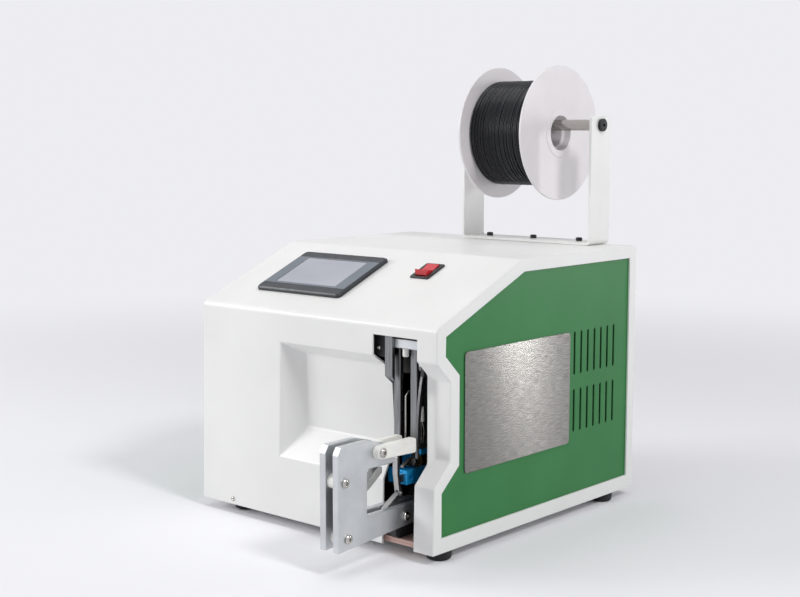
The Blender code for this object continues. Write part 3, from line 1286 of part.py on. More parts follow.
def build_twist_drive():
    """Motor under the head, and the belt drive behind the chassis plate."""
    shaft_end = CHASSIS_FRONT - MOTOR_SHAFT_DEPTH
    profile = pulley_profile(0)
    profile = profile[:-1] + [(0, profile[-1][1]), (0, shaft_end),
                              (MOTOR_SHAFT_RADIUS, shaft_end), (MOTOR_SHAFT_RADIUS, PULLEY_FRONT)]
    make("motor_pulley", turned(profile[1:], 'Y', (WIRE_X, MOTOR_Z), MIDDLE_ROUND),
         SATIN_ALUMINIUM, pivot=(WIRE_X, BELT_MIDDLE, MOTOR_Z))

    inner_radius = PULLEY_RADIUS + GAP
    outer_radius = inner_radius + BELT_SHEET
    steps = 12

    def loop(radius):
        return (arc((WIRE_X, SPINDLE_Z), radius, 0, 180, steps)
                + arc((WIRE_X, MOTOR_Z), radius, 180, 360, steps))
    low = BELT_MIDDLE - BELT_WIDTH / 2
    high = BELT_MIDDLE + BELT_WIDTH / 2
    belt = make("twist_belt", prism(loop(outer_radius), low, high, 'Y'), BELT_RUBBER)
    cut(belt, "belt_inside", prism(loop(inner_radius), low - OVERRUN, high + OVERRUN, 'Y'))

    back = CHASSIS_FRONT - GAP
    hole = MOTOR_SHAFT_RADIUS + GAP
    inner = MOTOR_RADIUS - MOTOR_STEP
    profile = [(0, MOTOR_FRONT), (inner, MOTOR_FRONT), (inner, MOTOR_FRONT + MOTOR_STEP_LENGTH),
               (MOTOR_RADIUS, MOTOR_FRONT + MOTOR_STEP_LENGTH), (MOTOR_RADIUS, back), (hole, back),
               (hole, shaft_end - GAP), (0, shaft_end - GAP)]
    make("twist_motor", turned(profile, 'Y', (WIRE_X, MOTOR_Z), MIDDLE_ROUND), DARK_STEEL)


# Chassis and slide

def build_chassis():
    """Mounting board, chassis plate and the blocks that carry the rails and the arms."""
    board = box_outline(BOARD_LEFT, CHASSIS_RIGHT, BOARD_FRONT, BOARD_BACK)
    make("mounting_board", prism(board, BOARD_BOTTOM, BOARD_TOP, 'Z'), BAKELITE, smooth=False)

    foot = BOARD_TOP + GAP
    outline = [(CHASSIS_FRONT, foot), (CHASSIS_BACK + CHASSIS_FOOT, foot),
               (CHASSIS_BACK + CHASSIS_FOOT, foot + CHASSIS_SHEET),
               (CHASSIS_BACK, foot + CHASSIS_SHEET), (CHASSIS_BACK, CHASSIS_TOP),
               (CHASSIS_FRONT, CHASSIS_TOP)]
    plate = make("chassis_plate", prism(outline, BOARD_LEFT, CHASSIS_RIGHT, 'X'), DARK_STEEL,
                 smooth=False)
    low, high = CHASSIS_FRONT - OVERRUN, CHASSIS_BACK + OVERRUN / 2
    roller = ROLLER_SHAFT_RADIUS + GAP
    holes = [rod(SPINDLE_RADIUS + GAP, low, high, 'Y', (WIRE_X, SPINDLE_Z)),
             rod(MOTOR_SHAFT_RADIUS + GAP, low, high, 'Y', (WIRE_X, MOTOR_Z)),
             rod(roller, low, high, 'Y', (DRIVE_ROLLER_X, ROLLER_Z)),
             rod(roller, low, high, 'Y', (PINCH_ROLLER_X, ROLLER_Z))]
    cut(plate, "chassis_holes", merge(holes))

    block = [(ARM_BLOCK_FRONT, foot + CHASSIS_SHEET), (ARM_BLOCK_FRONT + CHASSIS_SHEET, foot),
             (ARM_END, foot), (ARM_END, ARM_BLOCK_TOP), (ARM_BLOCK_FRONT, ARM_BLOCK_TOP)]
    arm_block = make("arm_foot_block", prism(block, FAR_INSIDE + GAP, NEAR_INSIDE - GAP, 'X'),
                     DARK_STEEL, smooth=False)
    cut(arm_block, "arm_block_hole", rod(GUIDE_SCREW_RADIUS + GAP, FAR_INSIDE - OVERRUN,
                                         NEAR_INSIDE + OVERRUN, 'X', (SCREW_ARM_Y, SCREW_ARM_Z)))

    base = box_outline(RAIL_BASE_LEFT, RAIL_BASE_RIGHT, RAIL_FRONT, CHASSIS_FRONT - GAP)
    make("rail_base", prism(base, HEAD_TOP + GAP, RAIL_BASE_TOP, 'Z'), DARK_STEEL, smooth=False)
    head = box_outline(RAIL_BASE_LEFT, RAIL_BASE_RIGHT, RAIL_HEAD_FRONT, CHASSIS_FRONT - GAP)
    block = make("rail_head", prism(head, RAIL_HEAD_BOTTOM, RAIL_HEAD_TOP, 'Z'), DARK_STEEL)
    nose = box_outline(RAIL_BASE_LEFT, RAIL_BASE_RIGHT, RAIL_FRONT, CHASSIS_FRONT - GAP - OVERRUN)
    cut(block, "rail_seat", prism(nose, RAIL_HEAD_BOTTOM, RAIL_HEAD_BOTTOM + CHASSIS_SHEET, 'Z'),
        operation='UNION')


def build_slide():
    """Two rails, the carriage that runs down them and its nylon bumper."""
    bottom = RAIL_BASE_TOP + GAP
    top = RAIL_HEAD_BOTTOM - GAP
    for name, side in (("left_rail", -1), ("right_rail", 1)):
        middle = WIRE_X + side * RAIL_SPREAD / 2
        outline = box_outline(middle - RAIL_WIDTH / 2, middle + RAIL_WIDTH / 2,
                              RAIL_FRONT, RAIL_BACK, RAIL_EDGE)
        make(name, prism(outline, bottom, top, 'Z'), BRIGHT_STEEL)

    back = RAIL_FRONT - GAP
    carriage = make("slide_carriage",
                    prism(box_outline(CARRIAGE_LEFT, CARRIAGE_RIGHT, CARRIAGE_FRONT, back),
                          CARRIAGE_BOTTOM, CARRIAGE_TOP, 'Z'), SATIN_ALUMINIUM,
                    pivot=(WIRE_X, CARRIAGE_FRONT, CARRIAGE_BOTTOM))
    soften(carriage, CARRIAGE_EDGE, 1, 30)
    half = RAIL_SPREAD / 2 - RAIL_WIDTH / 2 - GAP
    shoe = box_outline(WIRE_X - half, WIRE_X + half, CARRIAGE_FRONT + CARRIAGE_EDGE * 2, RAIL_BACK)
    cut(carriage, "carriage_shoe", prism(shoe, CARRIAGE_BOTTOM + CARRIAGE_EDGE,
                                         CARRIAGE_TOP - CARRIAGE_EDGE, 'Z'), operation='UNION')

    y = (CARRIAGE_FRONT + back) / 2
    top = CARRIAGE_BOTTOM - GAP
    profile = [(0, BUMPER_BOTTOM), (BUMPER_RADIUS - BUMPER_ROUND, BUMPER_BOTTOM),
               (BUMPER_RADIUS, BUMPER_BOTTOM + BUMPER_ROUND), (BUMPER_RADIUS, top), (0, top)]
    make("slide_bumper", turned(profile, 'Z', (BUMPER_X, y), SMALL_ROUND), NYLON,
         pivot=(BUMPER_X, y, BUMPER_BOTTOM))


def build_hook_bar():
    """Flat bar with a bevelled lower end, on a bent bracket."""
    outline = [(HOOK_BAR_LEFT, HOOK_BAR_CORNER), (HOOK_BAR_RIGHT, HOOK_BAR_LOW),
               (HOOK_BAR_RIGHT, HOOK_BAR_TOP), (HOOK_BAR_LEFT, HOOK_BAR_TOP)]
    back = HOOK_BAR_FRONT + HOOK_BAR_SHEET
    bar = make("hook_bar", prism(outline, HOOK_BAR_FRONT, back, 'Y'), SATIN_ALUMINIUM, smooth=False)
    wedge = [(HOOK_BAR_FRONT - OVERRUN, HOOK_BAR_LOW - OVERRUN),
             (back + GAP, HOOK_BAR_LOW - OVERRUN),
             (back + GAP, HOOK_BAR_LOW),
             (HOOK_BAR_FRONT - OVERRUN, HOOK_BAR_LOW + HOOK_BAR_BEVEL * 2)]
    cut(bar, "bar_bevel", prism(wedge, HOOK_BAR_LEFT - OVERRUN, HOOK_BAR_RIGHT + OVERRUN, 'X'))

    front = back + GAP
    inner = front + HOOK_BRACKET_SHEET
    top = HOOK_BAR_TOP + HOOK_BRACKET_SHEET
    bracket_end = CHASSIS_FRONT - GAP
    outline = [(front, HOOK_BRACKET_BOTTOM), (inner, HOOK_BRACKET_BOTTOM),
               (inner, HOOK_BAR_TOP), (bracket_end, HOOK_BAR_TOP),
               (bracket_end, top), (front, top)]
    make("hook_bar_bracket", prism(outline, HOOK_BRACKET_LEFT, HOOK_BRACKET_RIGHT, 'X'),
         DARK_STEEL, smooth=False)


def build_cutter():
    """Curved cutter lever that hangs from a pin in its own bracket."""
    pivot = (CUTTER_PIVOT_Y, CUTTER_PIVOT_Z)
    right = CUTTER_LEFT + CUTTER_SHEET
    front, back = [], []
    steps = 9
    start = CUTTER_PIVOT_Z - CUTTER_EYE_RADIUS
    for step in range(steps + 1):
        share = step / steps
        z = start + (CUTTER_TIP_Z - start) * share
        y = CUTTER_PIVOT_Y + (CUTTER_TIP_Y - CUTTER_PIVOT_Y) * share
        y -= CUTTER_BOW * math.sin(math.pi * share)
        half = (CUTTER_WIDTH + (CUTTER_TIP_WIDTH - CUTTER_WIDTH) * share) / 2
        front.append((y - half, z))
        back.append((y + half, z))
    eye = arc(pivot, CUTTER_EYE_RADIUS, -50, 230, 14)
    outline = eye + front + back[::-1]
    lever = make("cutter_lever", prism(outline, CUTTER_LEFT, right, 'X'), BRIGHT_STEEL,
                 pivot=(CUTTER_LEFT + CUTTER_SHEET / 2, *pivot))
    cut(lever, "cutter_eye", rod(CUTTER_PIN_RADIUS + GAP, CUTTER_LEFT - OVERRUN,
                                 right + OVERRUN, 'X', pivot))

    inside = right + GAP
    outside = inside + CUTTER_BRACKET_SHEET
    plate = rounded([(CUTTER_PIVOT_Y - CUTTER_EYE_RADIUS, CUTTER_BRACKET_BOTTOM, BOX_EDGE),
                     (CHASSIS_FRONT - GAP, CUTTER_BRACKET_BOTTOM),
                     (CHASSIS_FRONT - GAP, CUTTER_BRACKET_TOP),
                     (CUTTER_PIVOT_Y - CUTTER_EYE_RADIUS, CUTTER_BRACKET_TOP, BOX_EDGE)])
    bracket = make("cutter_bracket", prism(plate, inside, outside, 'X'), DARK_STEEL)
    head = CUTTER_LEFT - GAP
    middle = (inside + outside) / 2
    profile = [(0, head - PIN_HEAD), (CUTTER_PIN_HEAD_RADIUS, head - PIN_HEAD),
               (CUTTER_PIN_HEAD_RADIUS, head), (CUTTER_PIN_RADIUS, head),
               (CUTTER_PIN_RADIUS, middle), (0, middle)]
    cut(bracket, "cutter_pin", turned(profile, 'X', pivot, SMALL_ROUND), operation='UNION')


# Wire feed and electrical parts

def build_feed():
    """Two rollers that push the wire down, their motor, and the bent feed tube."""
    back = ROLLER_FRONT + ROLLER_WIDTH
    drive_end = CHASSIS_BACK + GAP + MOTOR_SHAFT_DEPTH
    groove = ROLLER_NIP
    middle = (ROLLER_FRONT + back) / 2
    for name, x, end in (("feed_drive_roller", DRIVE_ROLLER_X, drive_end),
                         ("feed_pinch_roller", PINCH_ROLLER_X, CHASSIS_BACK)):
        profile = [(0, ROLLER_FRONT), (ROLLER_RADIUS, ROLLER_FRONT),
                   (ROLLER_RADIUS, middle - groove), (ROLLER_RADIUS - groove / 2, middle),
                   (ROLLER_RADIUS, middle + groove), (ROLLER_RADIUS, back),
                   (ROLLER_SHAFT_RADIUS, back), (ROLLER_SHAFT_RADIUS, end), (0, end)]
        make(name, turned(profile, 'Y', (x, ROLLER_Z), MIDDLE_ROUND), BRIGHT_STEEL,
             pivot=(x, middle, ROLLER_Z))

    front = CHASSIS_BACK + GAP
    hole = ROLLER_SHAFT_RADIUS + GAP
    inner = FEED_MOTOR_RADIUS - MOTOR_STEP
    end = front + FEED_MOTOR_LENGTH
    profile = [(0, drive_end + GAP), (hole, drive_end + GAP), (hole, front),
               (FEED_MOTOR_RADIUS, front), (FEED_MOTOR_RADIUS, end - MOTOR_STEP_LENGTH),
               (inner, end - MOTOR_STEP_LENGTH), (inner, end), (0, end)]
    make("feed_motor", turned(profile, 'Y', (DRIVE_ROLLER_X, ROLLER_Z), MIDDLE_ROUND), DARK_STEEL)

    curve = bpy.data.curves.new("wire_feed_tube", 'CURVE')
    curve.dimensions = '3D'
    curve.bevel_depth = TUBE_RADIUS
    curve.bevel_resolution = 2
    curve.use_fill_caps = True
    route = [(middle, TUBE_TOP)]
    steps = 10
    for step in range(steps + 1):
        share = step / steps
        ease = share * share * (3 - 2 * share)
        route.append((middle + (TUBE_Y - middle) * ease,
                      TUBE_BEND_TOP + (TUBE_BEND_BOTTOM - TUBE_BEND_TOP) * share))
    route.append((TUBE_Y, RAIL_BASE_TOP + GAP))
    spline = curve.splines.new('POLY')
    spline.points.add(len(route) - 1)
    for point, (y, z) in zip(spline.points, route):
        point.co = (WIRE_X, y, z, 1)
    curve.materials.append(BRIGHT_STEEL)
    tube = bpy.data.objects.new("wire_feed_tube", curve)
    tube.parent = ROOT
    bpy.context.collection.objects.link(tube)

    top = SENSOR_BOTTOM + SENSOR_LENGTH
    edge = SENSOR_RADIUS / 5
    profile = [(0, SENSOR_BOTTOM), (SENSOR_RADIUS - edge, SENSOR_BOTTOM),
               (SENSOR_RADIUS, SENSOR_BOTTOM + edge), (SENSOR_RADIUS, top - edge),
               (SENSOR_RADIUS - edge, top), (0, top)]
    make("wire_sensor", turned(profile, 'Z', (SENSOR_X, RAIL_BACK + GAP + SENSOR_RADIUS),
                               SMALL_ROUND), NYLON)


def build_control_box():
    """Power supply and control in one box on the base pan."""
    floor = PAN_SHEET + GAP
    outline = box_outline(SUPPLY_LEFT, SUPPLY_LEFT + SUPPLY_WIDTH,
                          SUPPLY_FRONT, SUPPLY_FRONT + SUPPLY_DEPTH, BOX_EDGE)
    make("control_box", prism(outline, floor, floor + SUPPLY_HEIGHT, 'Z'), SATIN_ALUMINIUM)


build_housing()
build_side_panels()
build_base()
build_feet()
build_rear()
build_screen()
build_switch()
build_bracket()
build_spool()
build_guides()
build_gate()
build_wire_guides()
build_head()
build_twist_drive()
build_chassis()
build_slide()
build_hook_bar()
build_cutter()
build_feed()
build_control_box()
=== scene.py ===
"""Desktop twist tie machine: finishes, small parts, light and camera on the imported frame."""
import json
import math
import random

import bmesh
import bpy
from mathutils import Matrix, Vector


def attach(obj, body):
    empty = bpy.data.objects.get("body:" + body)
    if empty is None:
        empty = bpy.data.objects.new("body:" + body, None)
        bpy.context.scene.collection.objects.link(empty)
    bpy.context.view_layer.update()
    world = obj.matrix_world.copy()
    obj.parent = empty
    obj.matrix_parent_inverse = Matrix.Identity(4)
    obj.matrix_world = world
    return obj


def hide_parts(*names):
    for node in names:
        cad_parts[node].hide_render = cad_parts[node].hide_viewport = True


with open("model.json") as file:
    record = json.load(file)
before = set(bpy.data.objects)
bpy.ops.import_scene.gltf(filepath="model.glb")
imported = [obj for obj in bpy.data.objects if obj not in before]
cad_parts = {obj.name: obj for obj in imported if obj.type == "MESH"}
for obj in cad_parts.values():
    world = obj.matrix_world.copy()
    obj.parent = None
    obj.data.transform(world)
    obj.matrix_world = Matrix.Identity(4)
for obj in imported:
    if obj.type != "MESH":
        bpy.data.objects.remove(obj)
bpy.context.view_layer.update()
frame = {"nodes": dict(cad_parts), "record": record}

NODES = frame["nodes"]
MM = 0.001
MM_IN_METRE = 1000.0
# The middle of the housing's lower front edge, in mm from the scene's origin on the table
WHERE_PLACES_START = Vector((0, -168.75, 10.5))


# Small tools

def linear(code):
    """An sRGB hex colour as the linear RGBA that the shaders mix."""
    values = [int(code[i:i + 2], 16) / 255 for i in (1, 3, 5)]
    return tuple(v / 12.92 if v <= 0.04045 else ((v + 0.055) / 1.055) ** 2.4 for v in values) + (1.0,)


def at(x, y, z):
    """A place in mm from the housing's lower front edge, as metres in the scene."""
    return (Vector((x, y, z)) + WHERE_PLACES_START) * MM


def per_metre(size_mm):
    """Texture scale whose features are that many millimetres across."""
    return MM_IN_METRE / size_mm


def add(tree, kind, inputs=None, **settings):
    """Add a shader node with its settings; an input is a value, or the socket it is linked from."""
    made = tree.nodes.new(kind)
    for name, value in settings.items():
        setattr(made, name, value)
    for key, value in (inputs or {}).items():
        if isinstance(value, bpy.types.NodeSocket):
            tree.links.new(value, made.inputs[key])
        else:
            made.inputs[key].default_value = value
    return made


def finish(name, roughness, metallic=0.0, **shader_inputs):
    """A new material and its Principled shader, set to the values that hold all over it."""
    material = bpy.data.materials.new(name)
    material.use_nodes = True
    tree = material.node_tree
    shader = tree.nodes["Principled BSDF"]
    shader.inputs["Roughness"].default_value = roughness
    shader.inputs["Metallic"].default_value = metallic
    for key, value in shader_inputs.items():
        shader.inputs[key.replace("_", " ")].default_value = value
    place = add(tree, "ShaderNodeTexCoord").outputs["Object"]
    return material, tree, shader, place


def stretched(tree, place, sizes_mm, detail=2.0, rough=0.5, seed=0.0):
    """Noise whose features measure sizes_mm along X, Y and Z."""
    scale = tuple(per_metre(size) for size in sizes_mm)
    mapped = add(tree, "ShaderNodeMapping", {"Vector": place, "Scale": scale,
                                             "Location": (seed, seed, seed)})
    noise = add(tree, "ShaderNodeTexNoise", {"Vector": mapped.outputs["Vector"], "Scale": 1.0,
                                             "Detail": detail, "Roughness": rough})
    return noise.outputs["Fac"]


NOISE_LOW, NOISE_HIGH = 0.3, 0.7                    # nearly all of the noise lies between these


def tones(tree, shader, factor, dark, light, low=NOISE_LOW, high=NOISE_HIGH):
    """Let the base colour wander between two tones."""
    ramp = add(tree, "ShaderNodeMapRange", {"Value": factor, "From Min": low, "From Max": high})
    mixed = add(tree, "ShaderNodeMix", {0: ramp.outputs[0], 6: linear(dark), 7: linear(light)},
                data_type='RGBA')
    tree.links.new(mixed.outputs[2], shader.inputs["Base Color"])
    return mixed


def rough_between(tree, shader, factor, low, high):
    """Let the roughness wander between two values."""
    ramp = add(tree, "ShaderNodeMapRange", {"Value": factor, "From Min": NOISE_LOW,
                                            "From Max": NOISE_HIGH, "To Min": low, "To Max": high})
    tree.links.new(ramp.outputs[0], shader.inputs["Roughness"])


def relief(tree, shader, factor, height_mm, strength=1.0, edge_mm=0.4):
    """Grain from a height pattern, over edges that are broken by about edge_mm as on the real part."""
    inputs = {"Height": factor, "Distance": height_mm * MM, "Strength": strength}
    if edge_mm:
        edge = add(tree, "ShaderNodeBevel", {"Radius": edge_mm * MM}, samples=4)
        inputs["Normal"] = edge.outputs["Normal"]
    bump = add(tree, "ShaderNodeBump", inputs)
    tree.links.new(bump.outputs["Normal"], shader.inputs["Normal"])


# Finishes; a pattern's sizes are in mm along X, Y and Z

# Rooms whose walls get painted shade, a near-black colour for the dark inside, as low and high corners
# in mm
SHADE_BEHIND_SHELL = (((-172.0, 45.0, 1.0), (172.0, 368.7, 228.0)),
                ((-172.0, 150.0, 1.0), (172.0, 368.7, 288.3)))
SHADE_BETWEEN_PANELS = (((-171.6, 0.0, 0.0), (171.6, 370.0, 300.0)),)
# painted shade: near black in place of the dark inside of the housing and panels
PAINTED_SHADE_INSIDE = "#141415"
ALONG_Y, ALONG_Z = 1, 2                             # the way that scratches run


def inside(tree, place, boxes):
    """1 in any of the boxes, 0 outside them all."""
    found = None
    for low, high in boxes:
        low, high = at(*low), at(*high)
        away = add(tree, "ShaderNodeVectorMath", {0: place, 1: (low + high) / 2},
                   operation='SUBTRACT')
        away = add(tree, "ShaderNodeVectorMath", {0: away.outputs[0]}, operation='ABSOLUTE')
        room = add(tree, "ShaderNodeVectorMath", {0: (high - low) / 2, 1: away.outputs[0]},
                   operation='SUBTRACT')
        parts = add(tree, "ShaderNodeSeparateXYZ", {0: room.outputs[0]}).outputs
        least = add(tree, "ShaderNodeMath", {0: parts[0], 1: parts[1]}, operation='MINIMUM')
        least = add(tree, "ShaderNodeMath", {0: least.outputs[0], 1: parts[2]},
                    operation='MINIMUM')
        here = add(tree, "ShaderNodeMath", {0: least.outputs[0], 1: 0.0},
                   operation='GREATER_THAN').outputs[0]
        if found:
            here = add(tree, "ShaderNodeMath", {0: found, 1: here},
                       operation='MAXIMUM').outputs[0]
        found = here
    return found


def powder_coat(name, dark, light, roughness, shaded_boxes, shine=0.5):
    """Polyester powder coat: satin, with a fine orange peel about 1.5 mm across; in the given
    rooms its colour is painted shade, near black, for the dark inside of the housing."""
    material, tree, shader, place = finish(name, roughness, Coat_Weight=0.12, Coat_Roughness=0.25,
                                           Specular_IOR_Level=shine)
    coat = tones(tree, shader, stretched(tree, place, (90, 90, 90)), dark, light)
    # painted shade: the colour turns near black inside the rooms listed
    shaded_inside = add(tree, "ShaderNodeMix", {0: inside(tree, place, shaded_boxes), 6: coat.outputs[2],
                                         7: linear(PAINTED_SHADE_INSIDE)}, data_type='RGBA')
    tree.links.new(shaded_inside.outputs[2], shader.inputs["Base Color"])
    rough_between(tree, shader, stretched(tree, place, (25, 25, 25), seed=3),
                  low=roughness - 0.04, high=roughness + 0.05)
    peel = stretched(tree, place, (1.5, 1.5, 1.5), detail=1.0)
    relief(tree, shader, peel, height_mm=0.03, strength=0.5)
    return material


def brushed_stainless():
    """Stainless sheet, grained lengthwise on a belt: it smears light upright into one tall band."""
    material, tree, shader, place = finish("brushed_stainless", 0.38, 1.0, Anisotropic=1.0,
                                           Anisotropic_Rotation=0.25)
    # real grain is 0.05 mm wide; drawn 0.5 mm so that it shows
    grain = stretched(tree, place, (1, 14, 0.5), detail=3.0, rough=0.6)
    tones(tree, shader, grain, "#6E6D6A", "#8F8D89", low=0.38, high=0.62)
    rough_between(tree, shader, grain, low=0.19, high=0.23)
    relief(tree, shader, grain, height_mm=0.01, strength=0.08)
    tangent = add(tree, "ShaderNodeTangent", direction_type='RADIAL', axis='Z')
    tree.links.new(tangent.outputs[0], shader.inputs["Tangent"])
    return material


def milled_aluminium():
    """Plate milled and clear anodised: a soft grey sheen with faint cutter lines 0.8 mm apart."""
    material, tree, shader, place = finish("milled_aluminium", 0.42, 0.85)
    lines = stretched(tree, place, (20, 0.8, 40))
    tones(tree, shader, stretched(tree, place, (30, 30, 30)), "#C3C6C9", "#D3D6D8")
    rough_between(tree, shader, lines, low=0.36, high=0.46)
    relief(tree, shader, lines, height_mm=0.01, strength=0.25)
    return material


def ground_steel(name, along, dark, light, roughness):
    """Bare metal ground along one axis: scratches 30 mm long and 0.5 mm wide. Real ones are finer;
    these are drawn so that they show."""
    material, tree, shader, place = finish(name, roughness, 1.0)
    sizes = [0.5, 0.5, 0.5]
    sizes[along] = 30
    scratches = stretched(tree, place, sizes)
    tones(tree, shader, scratches, dark, light)
    rough_between(tree, shader, scratches, low=roughness - 0.06, high=roughness + 0.06)
    relief(tree, shader, scratches, height_mm=0.006, strength=0.3)
    return material


def turned_steel():
    """Bright turned and nickel plated steel: near mirror, with faint rings left by the tool."""
    material, tree, shader, place = finish("turned_steel", 0.14, 1.0)
    rings = stretched(tree, place, (0.5, 8, 8))
    tones(tree, shader, rings, "#B3B0AB", "#C3C0BB")
    rough_between(tree, shader, rings, low=0.08, high=0.16)
    relief(tree, shader, rings, height_mm=0.003, strength=0.04, edge_mm=0.3)
    return material


def black_oxide():
    """Heat-treated steel blacked in salts: dark, oily satin."""
    material, tree, shader, place = finish("black_oxide_steel", 0.38, 0.35)
    cloud = stretched(tree, place, (3, 3, 3))
    tones(tree, shader, cloud, "#17181A", "#2A2B2E")
    rough_between(tree, shader, cloud, low=0.30, high=0.48)
    relief(tree, shader, cloud, height_mm=0.01, strength=0.2, edge_mm=0.3)
    return material


def black_chassis_and_painted_shade():
    """Mild steel in matt black paint, also dark as painted shade: it keeps the inside of the slot
    dark.
    """
    material, tree, shader, place = finish("black_chassis_steel_and_shade", 0.55)
    # near-black tones: black paint and painted shade for the dark slot
    tones(tree, shader, stretched(tree, place, (12, 12, 12)), "#1C1C1E", "#2B2B2D")
    speckle = stretched(tree, place, (0.8, 0.8, 0.8))
    relief(tree, shader, speckle, height_mm=0.03, strength=0.4)
    return material


def turned_nylon():
    """Natural nylon, sawn and turned: milky, lets a little light in, faint flow marks."""
    material, tree, shader, place = finish("natural_nylon", 0.42, Subsurface_Weight=0.12,
                                           Subsurface_Scale=0.003, IOR=1.53)
    shader.inputs["Subsurface Radius"].default_value = (1.0, 0.8, 0.6)
    tones(tree, shader, stretched(tree, place, (14, 14, 5)), "#EFEEE7", "#F7F6F1")
    marks = stretched(tree, place, (0.7, 6, 0.7))
    relief(tree, shader, marks, height_mm=0.015, strength=0.3)
    return material


def blue_anodised():
    """Milled aluminium anodised and dyed blue: metal shine under a clear coloured skin."""
    material, tree, shader, place = finish("blue_anodised_aluminium", 0.36, 0.35)
    lines = stretched(tree, place, (0.9, 12, 12))
    tones(tree, shader, lines, "#1398DC", "#2AAEF0")
    relief(tree, shader, lines, height_mm=0.01, strength=0.25)
    return material


def phenolic_laminate():
    """Paper and resin board pressed in sheets: sawn edges show the layers, about 0.6 mm each."""
    material, tree, shader, place = finish("phenolic_laminate", 0.5)
    layers = stretched(tree, place, (40, 40, 0.6), detail=1.0)
    tones(tree, shader, layers, "#A27F75", "#D3B2A8")
    sawn = stretched(tree, place, (3, 3, 0.6))
    relief(tree, shader, sawn, height_mm=0.04, strength=0.4)
    return material


def moulded_plastic(name, dark, light, roughness, grain_mm=0.8, strength=0.35, edge_mm=0.4,
                    flow_mm=6, **values):
    """Injection moulding: a very fine even grain from a spark-eroded tool, nearly none if polished."""
    material, tree, shader, place = finish(name, roughness, **values)
    tones(tree, shader, stretched(tree, place, (25, 25, 25)), dark, light)
    rough_between(tree, shader, stretched(tree, place, (flow_mm,) * 3, seed=5),
                  low=roughness - 0.04, high=roughness + 0.04)
    grain = stretched(tree, place, (grain_mm,) * 3)
    relief(tree, shader, grain, height_mm=0.02, strength=strength, edge_mm=edge_mm)
    return material


def moulded_rubber(name, ribs_mm):
    """Black rubber from the mould: dull, slightly dusty."""
    material, tree, shader, place = finish(name, 0.78)
    tones(tree, shader, stretched(tree, place, (4, 4, 4)), "#101011", "#222224")
    relief(tree, shader, stretched(tree, place, ribs_mm), height_mm=0.05, strength=0.5)
    return material


def display_glass():
    """Hard-coated touch film over a display that is off: pale grey, mirror smooth."""
    material, tree, shader, place = finish("display_glass", 0.16, Coat_Weight=0.8,
                                           Coat_Roughness=0.04, IOR=1.5)
    tones(tree, shader, stretched(tree, place, (120, 60, 60)), "#979BA6", "#A7ABB4")
    rough_between(tree, shader, stretched(tree, place, (15, 15, 15)), low=0.12, high=0.20)
    return material


def coated_wire():
    """Steel wire in black PVC, drawn through a die: glossy, with slight waves along it."""
    material, tree, shader, place = finish("pvc_coated_wire", 0.26, Specular_IOR_Level=0.36)
    waves = stretched(tree, place, (1.1, 14, 14))
    tones(tree, shader, waves, "#04060A", "#0B0F15")
    rough_between(tree, shader, waves, low=0.18, high=0.30)
    relief(tree, shader, waves, height_mm=0.02, strength=0.3, edge_mm=0.0)
    return material


FINISHES = {
    "white_paint": powder_coat("white_powder_coat", "#E8E8E6", "#EEEEEC", 0.40, SHADE_BEHIND_SHELL),
    "green_paint": powder_coat("green_powder_coat", "#2D763D", "#337D43", 0.38, SHADE_BETWEEN_PANELS,
                               shine=0.22),
    "brushed_steel": brushed_stainless(),
    "bright_steel": turned_steel(),
    "dark_steel": black_chassis_and_painted_shade(),
    "black_steel": black_oxide(),
    "satin_aluminium": milled_aluminium(),
    "blue_anodised": blue_anodised(),
    # bronze toned dark brown, partly painted shade: the bearing sits in the block's shadow
    "bronze": ground_steel("sintered_bronze_and_shade", ALONG_Y, "#4E3E2A", "#6B5538", 0.45),
    "nylon": turned_nylon(),
    "bakelite": phenolic_laminate(),
    "rubber": moulded_rubber("moulded_foot_rubber", (1.2, 1.2, 1.2)),
    "black_plastic": moulded_plastic("black_polyamide", "#0E0F11", "#151618", 0.42),
    "screen_plastic": moulded_plastic("grey_abs_bezel", "#24272C", "#2C3036", 0.42),
    "screen_glass": display_glass(),
    "red_plastic": moulded_plastic("red_polycarbonate", "#C81A22", "#DB2430", 0.22,
                                   Coat_Weight=0.4, Coat_Roughness=0.1),
    "spool_plastic": moulded_plastic("white_polystyrene", "#E2DEE0", "#E6E2E4", 0.38, grain_mm=12,
                                     strength=0.05, edge_mm=0.0, flow_mm=60),
    "wire_plastic": coated_wire(),
    "belt_rubber": moulded_rubber("belt_rubber", (1.5, 8, 1.5)),
}
RAIL_STEEL = ground_steel("ground_rail_steel", ALONG_Z, "#6F7073", "#939495", 0.36)
BLADE_STEEL = ground_steel("ground_blade_steel", ALONG_Z, "#5D5D5F", "#868688", 0.34)
SPINDLE_STEEL = ground_steel("hardened_spindle_steel", ALONG_Y, "#6A6865", "#8B8985", 0.36)
# steel toned dark, partly as painted shade for the rollers' dark reflections in the slot
SHADE_DARK_ROLLER_STEEL = ground_steel("blackened_roller_steel_and_shade", ALONG_Y, "#2E2D2C", "#474543", 0.5)
GUIDE_STEEL = ground_steel("ground_guide_steel", ALONG_Y, "#9C9C9C", "#C2C2C0", 0.34)
OWN_STEEL = {"left_rail": RAIL_STEEL, "right_rail": RAIL_STEEL, "hook_bar": RAIL_STEEL,
             "cutter_lever": BLADE_STEEL, "front_wire_guide": GUIDE_STEEL,
             "rear_wire_guide": GUIDE_STEEL, "swing_wire_guide": GUIDE_STEEL,
             "twist_spindle": SPINDLE_STEEL, "feed_drive_roller": SHADE_DARK_ROLLER_STEEL,
             "feed_pinch_roller": SHADE_DARK_ROLLER_STEEL}


def dress_nodes():
    """Give every CAD node the finish of its material slot, or a steel of its own."""
    slots = {entry["node"]: entry["material_slot"] for entry in frame["record"]["subparts"]}
    for name, thing in NODES.items():
        thing.data.materials.clear()
        thing.data.materials.append(OWN_STEEL.get(name) or FINISHES[slots[name]])


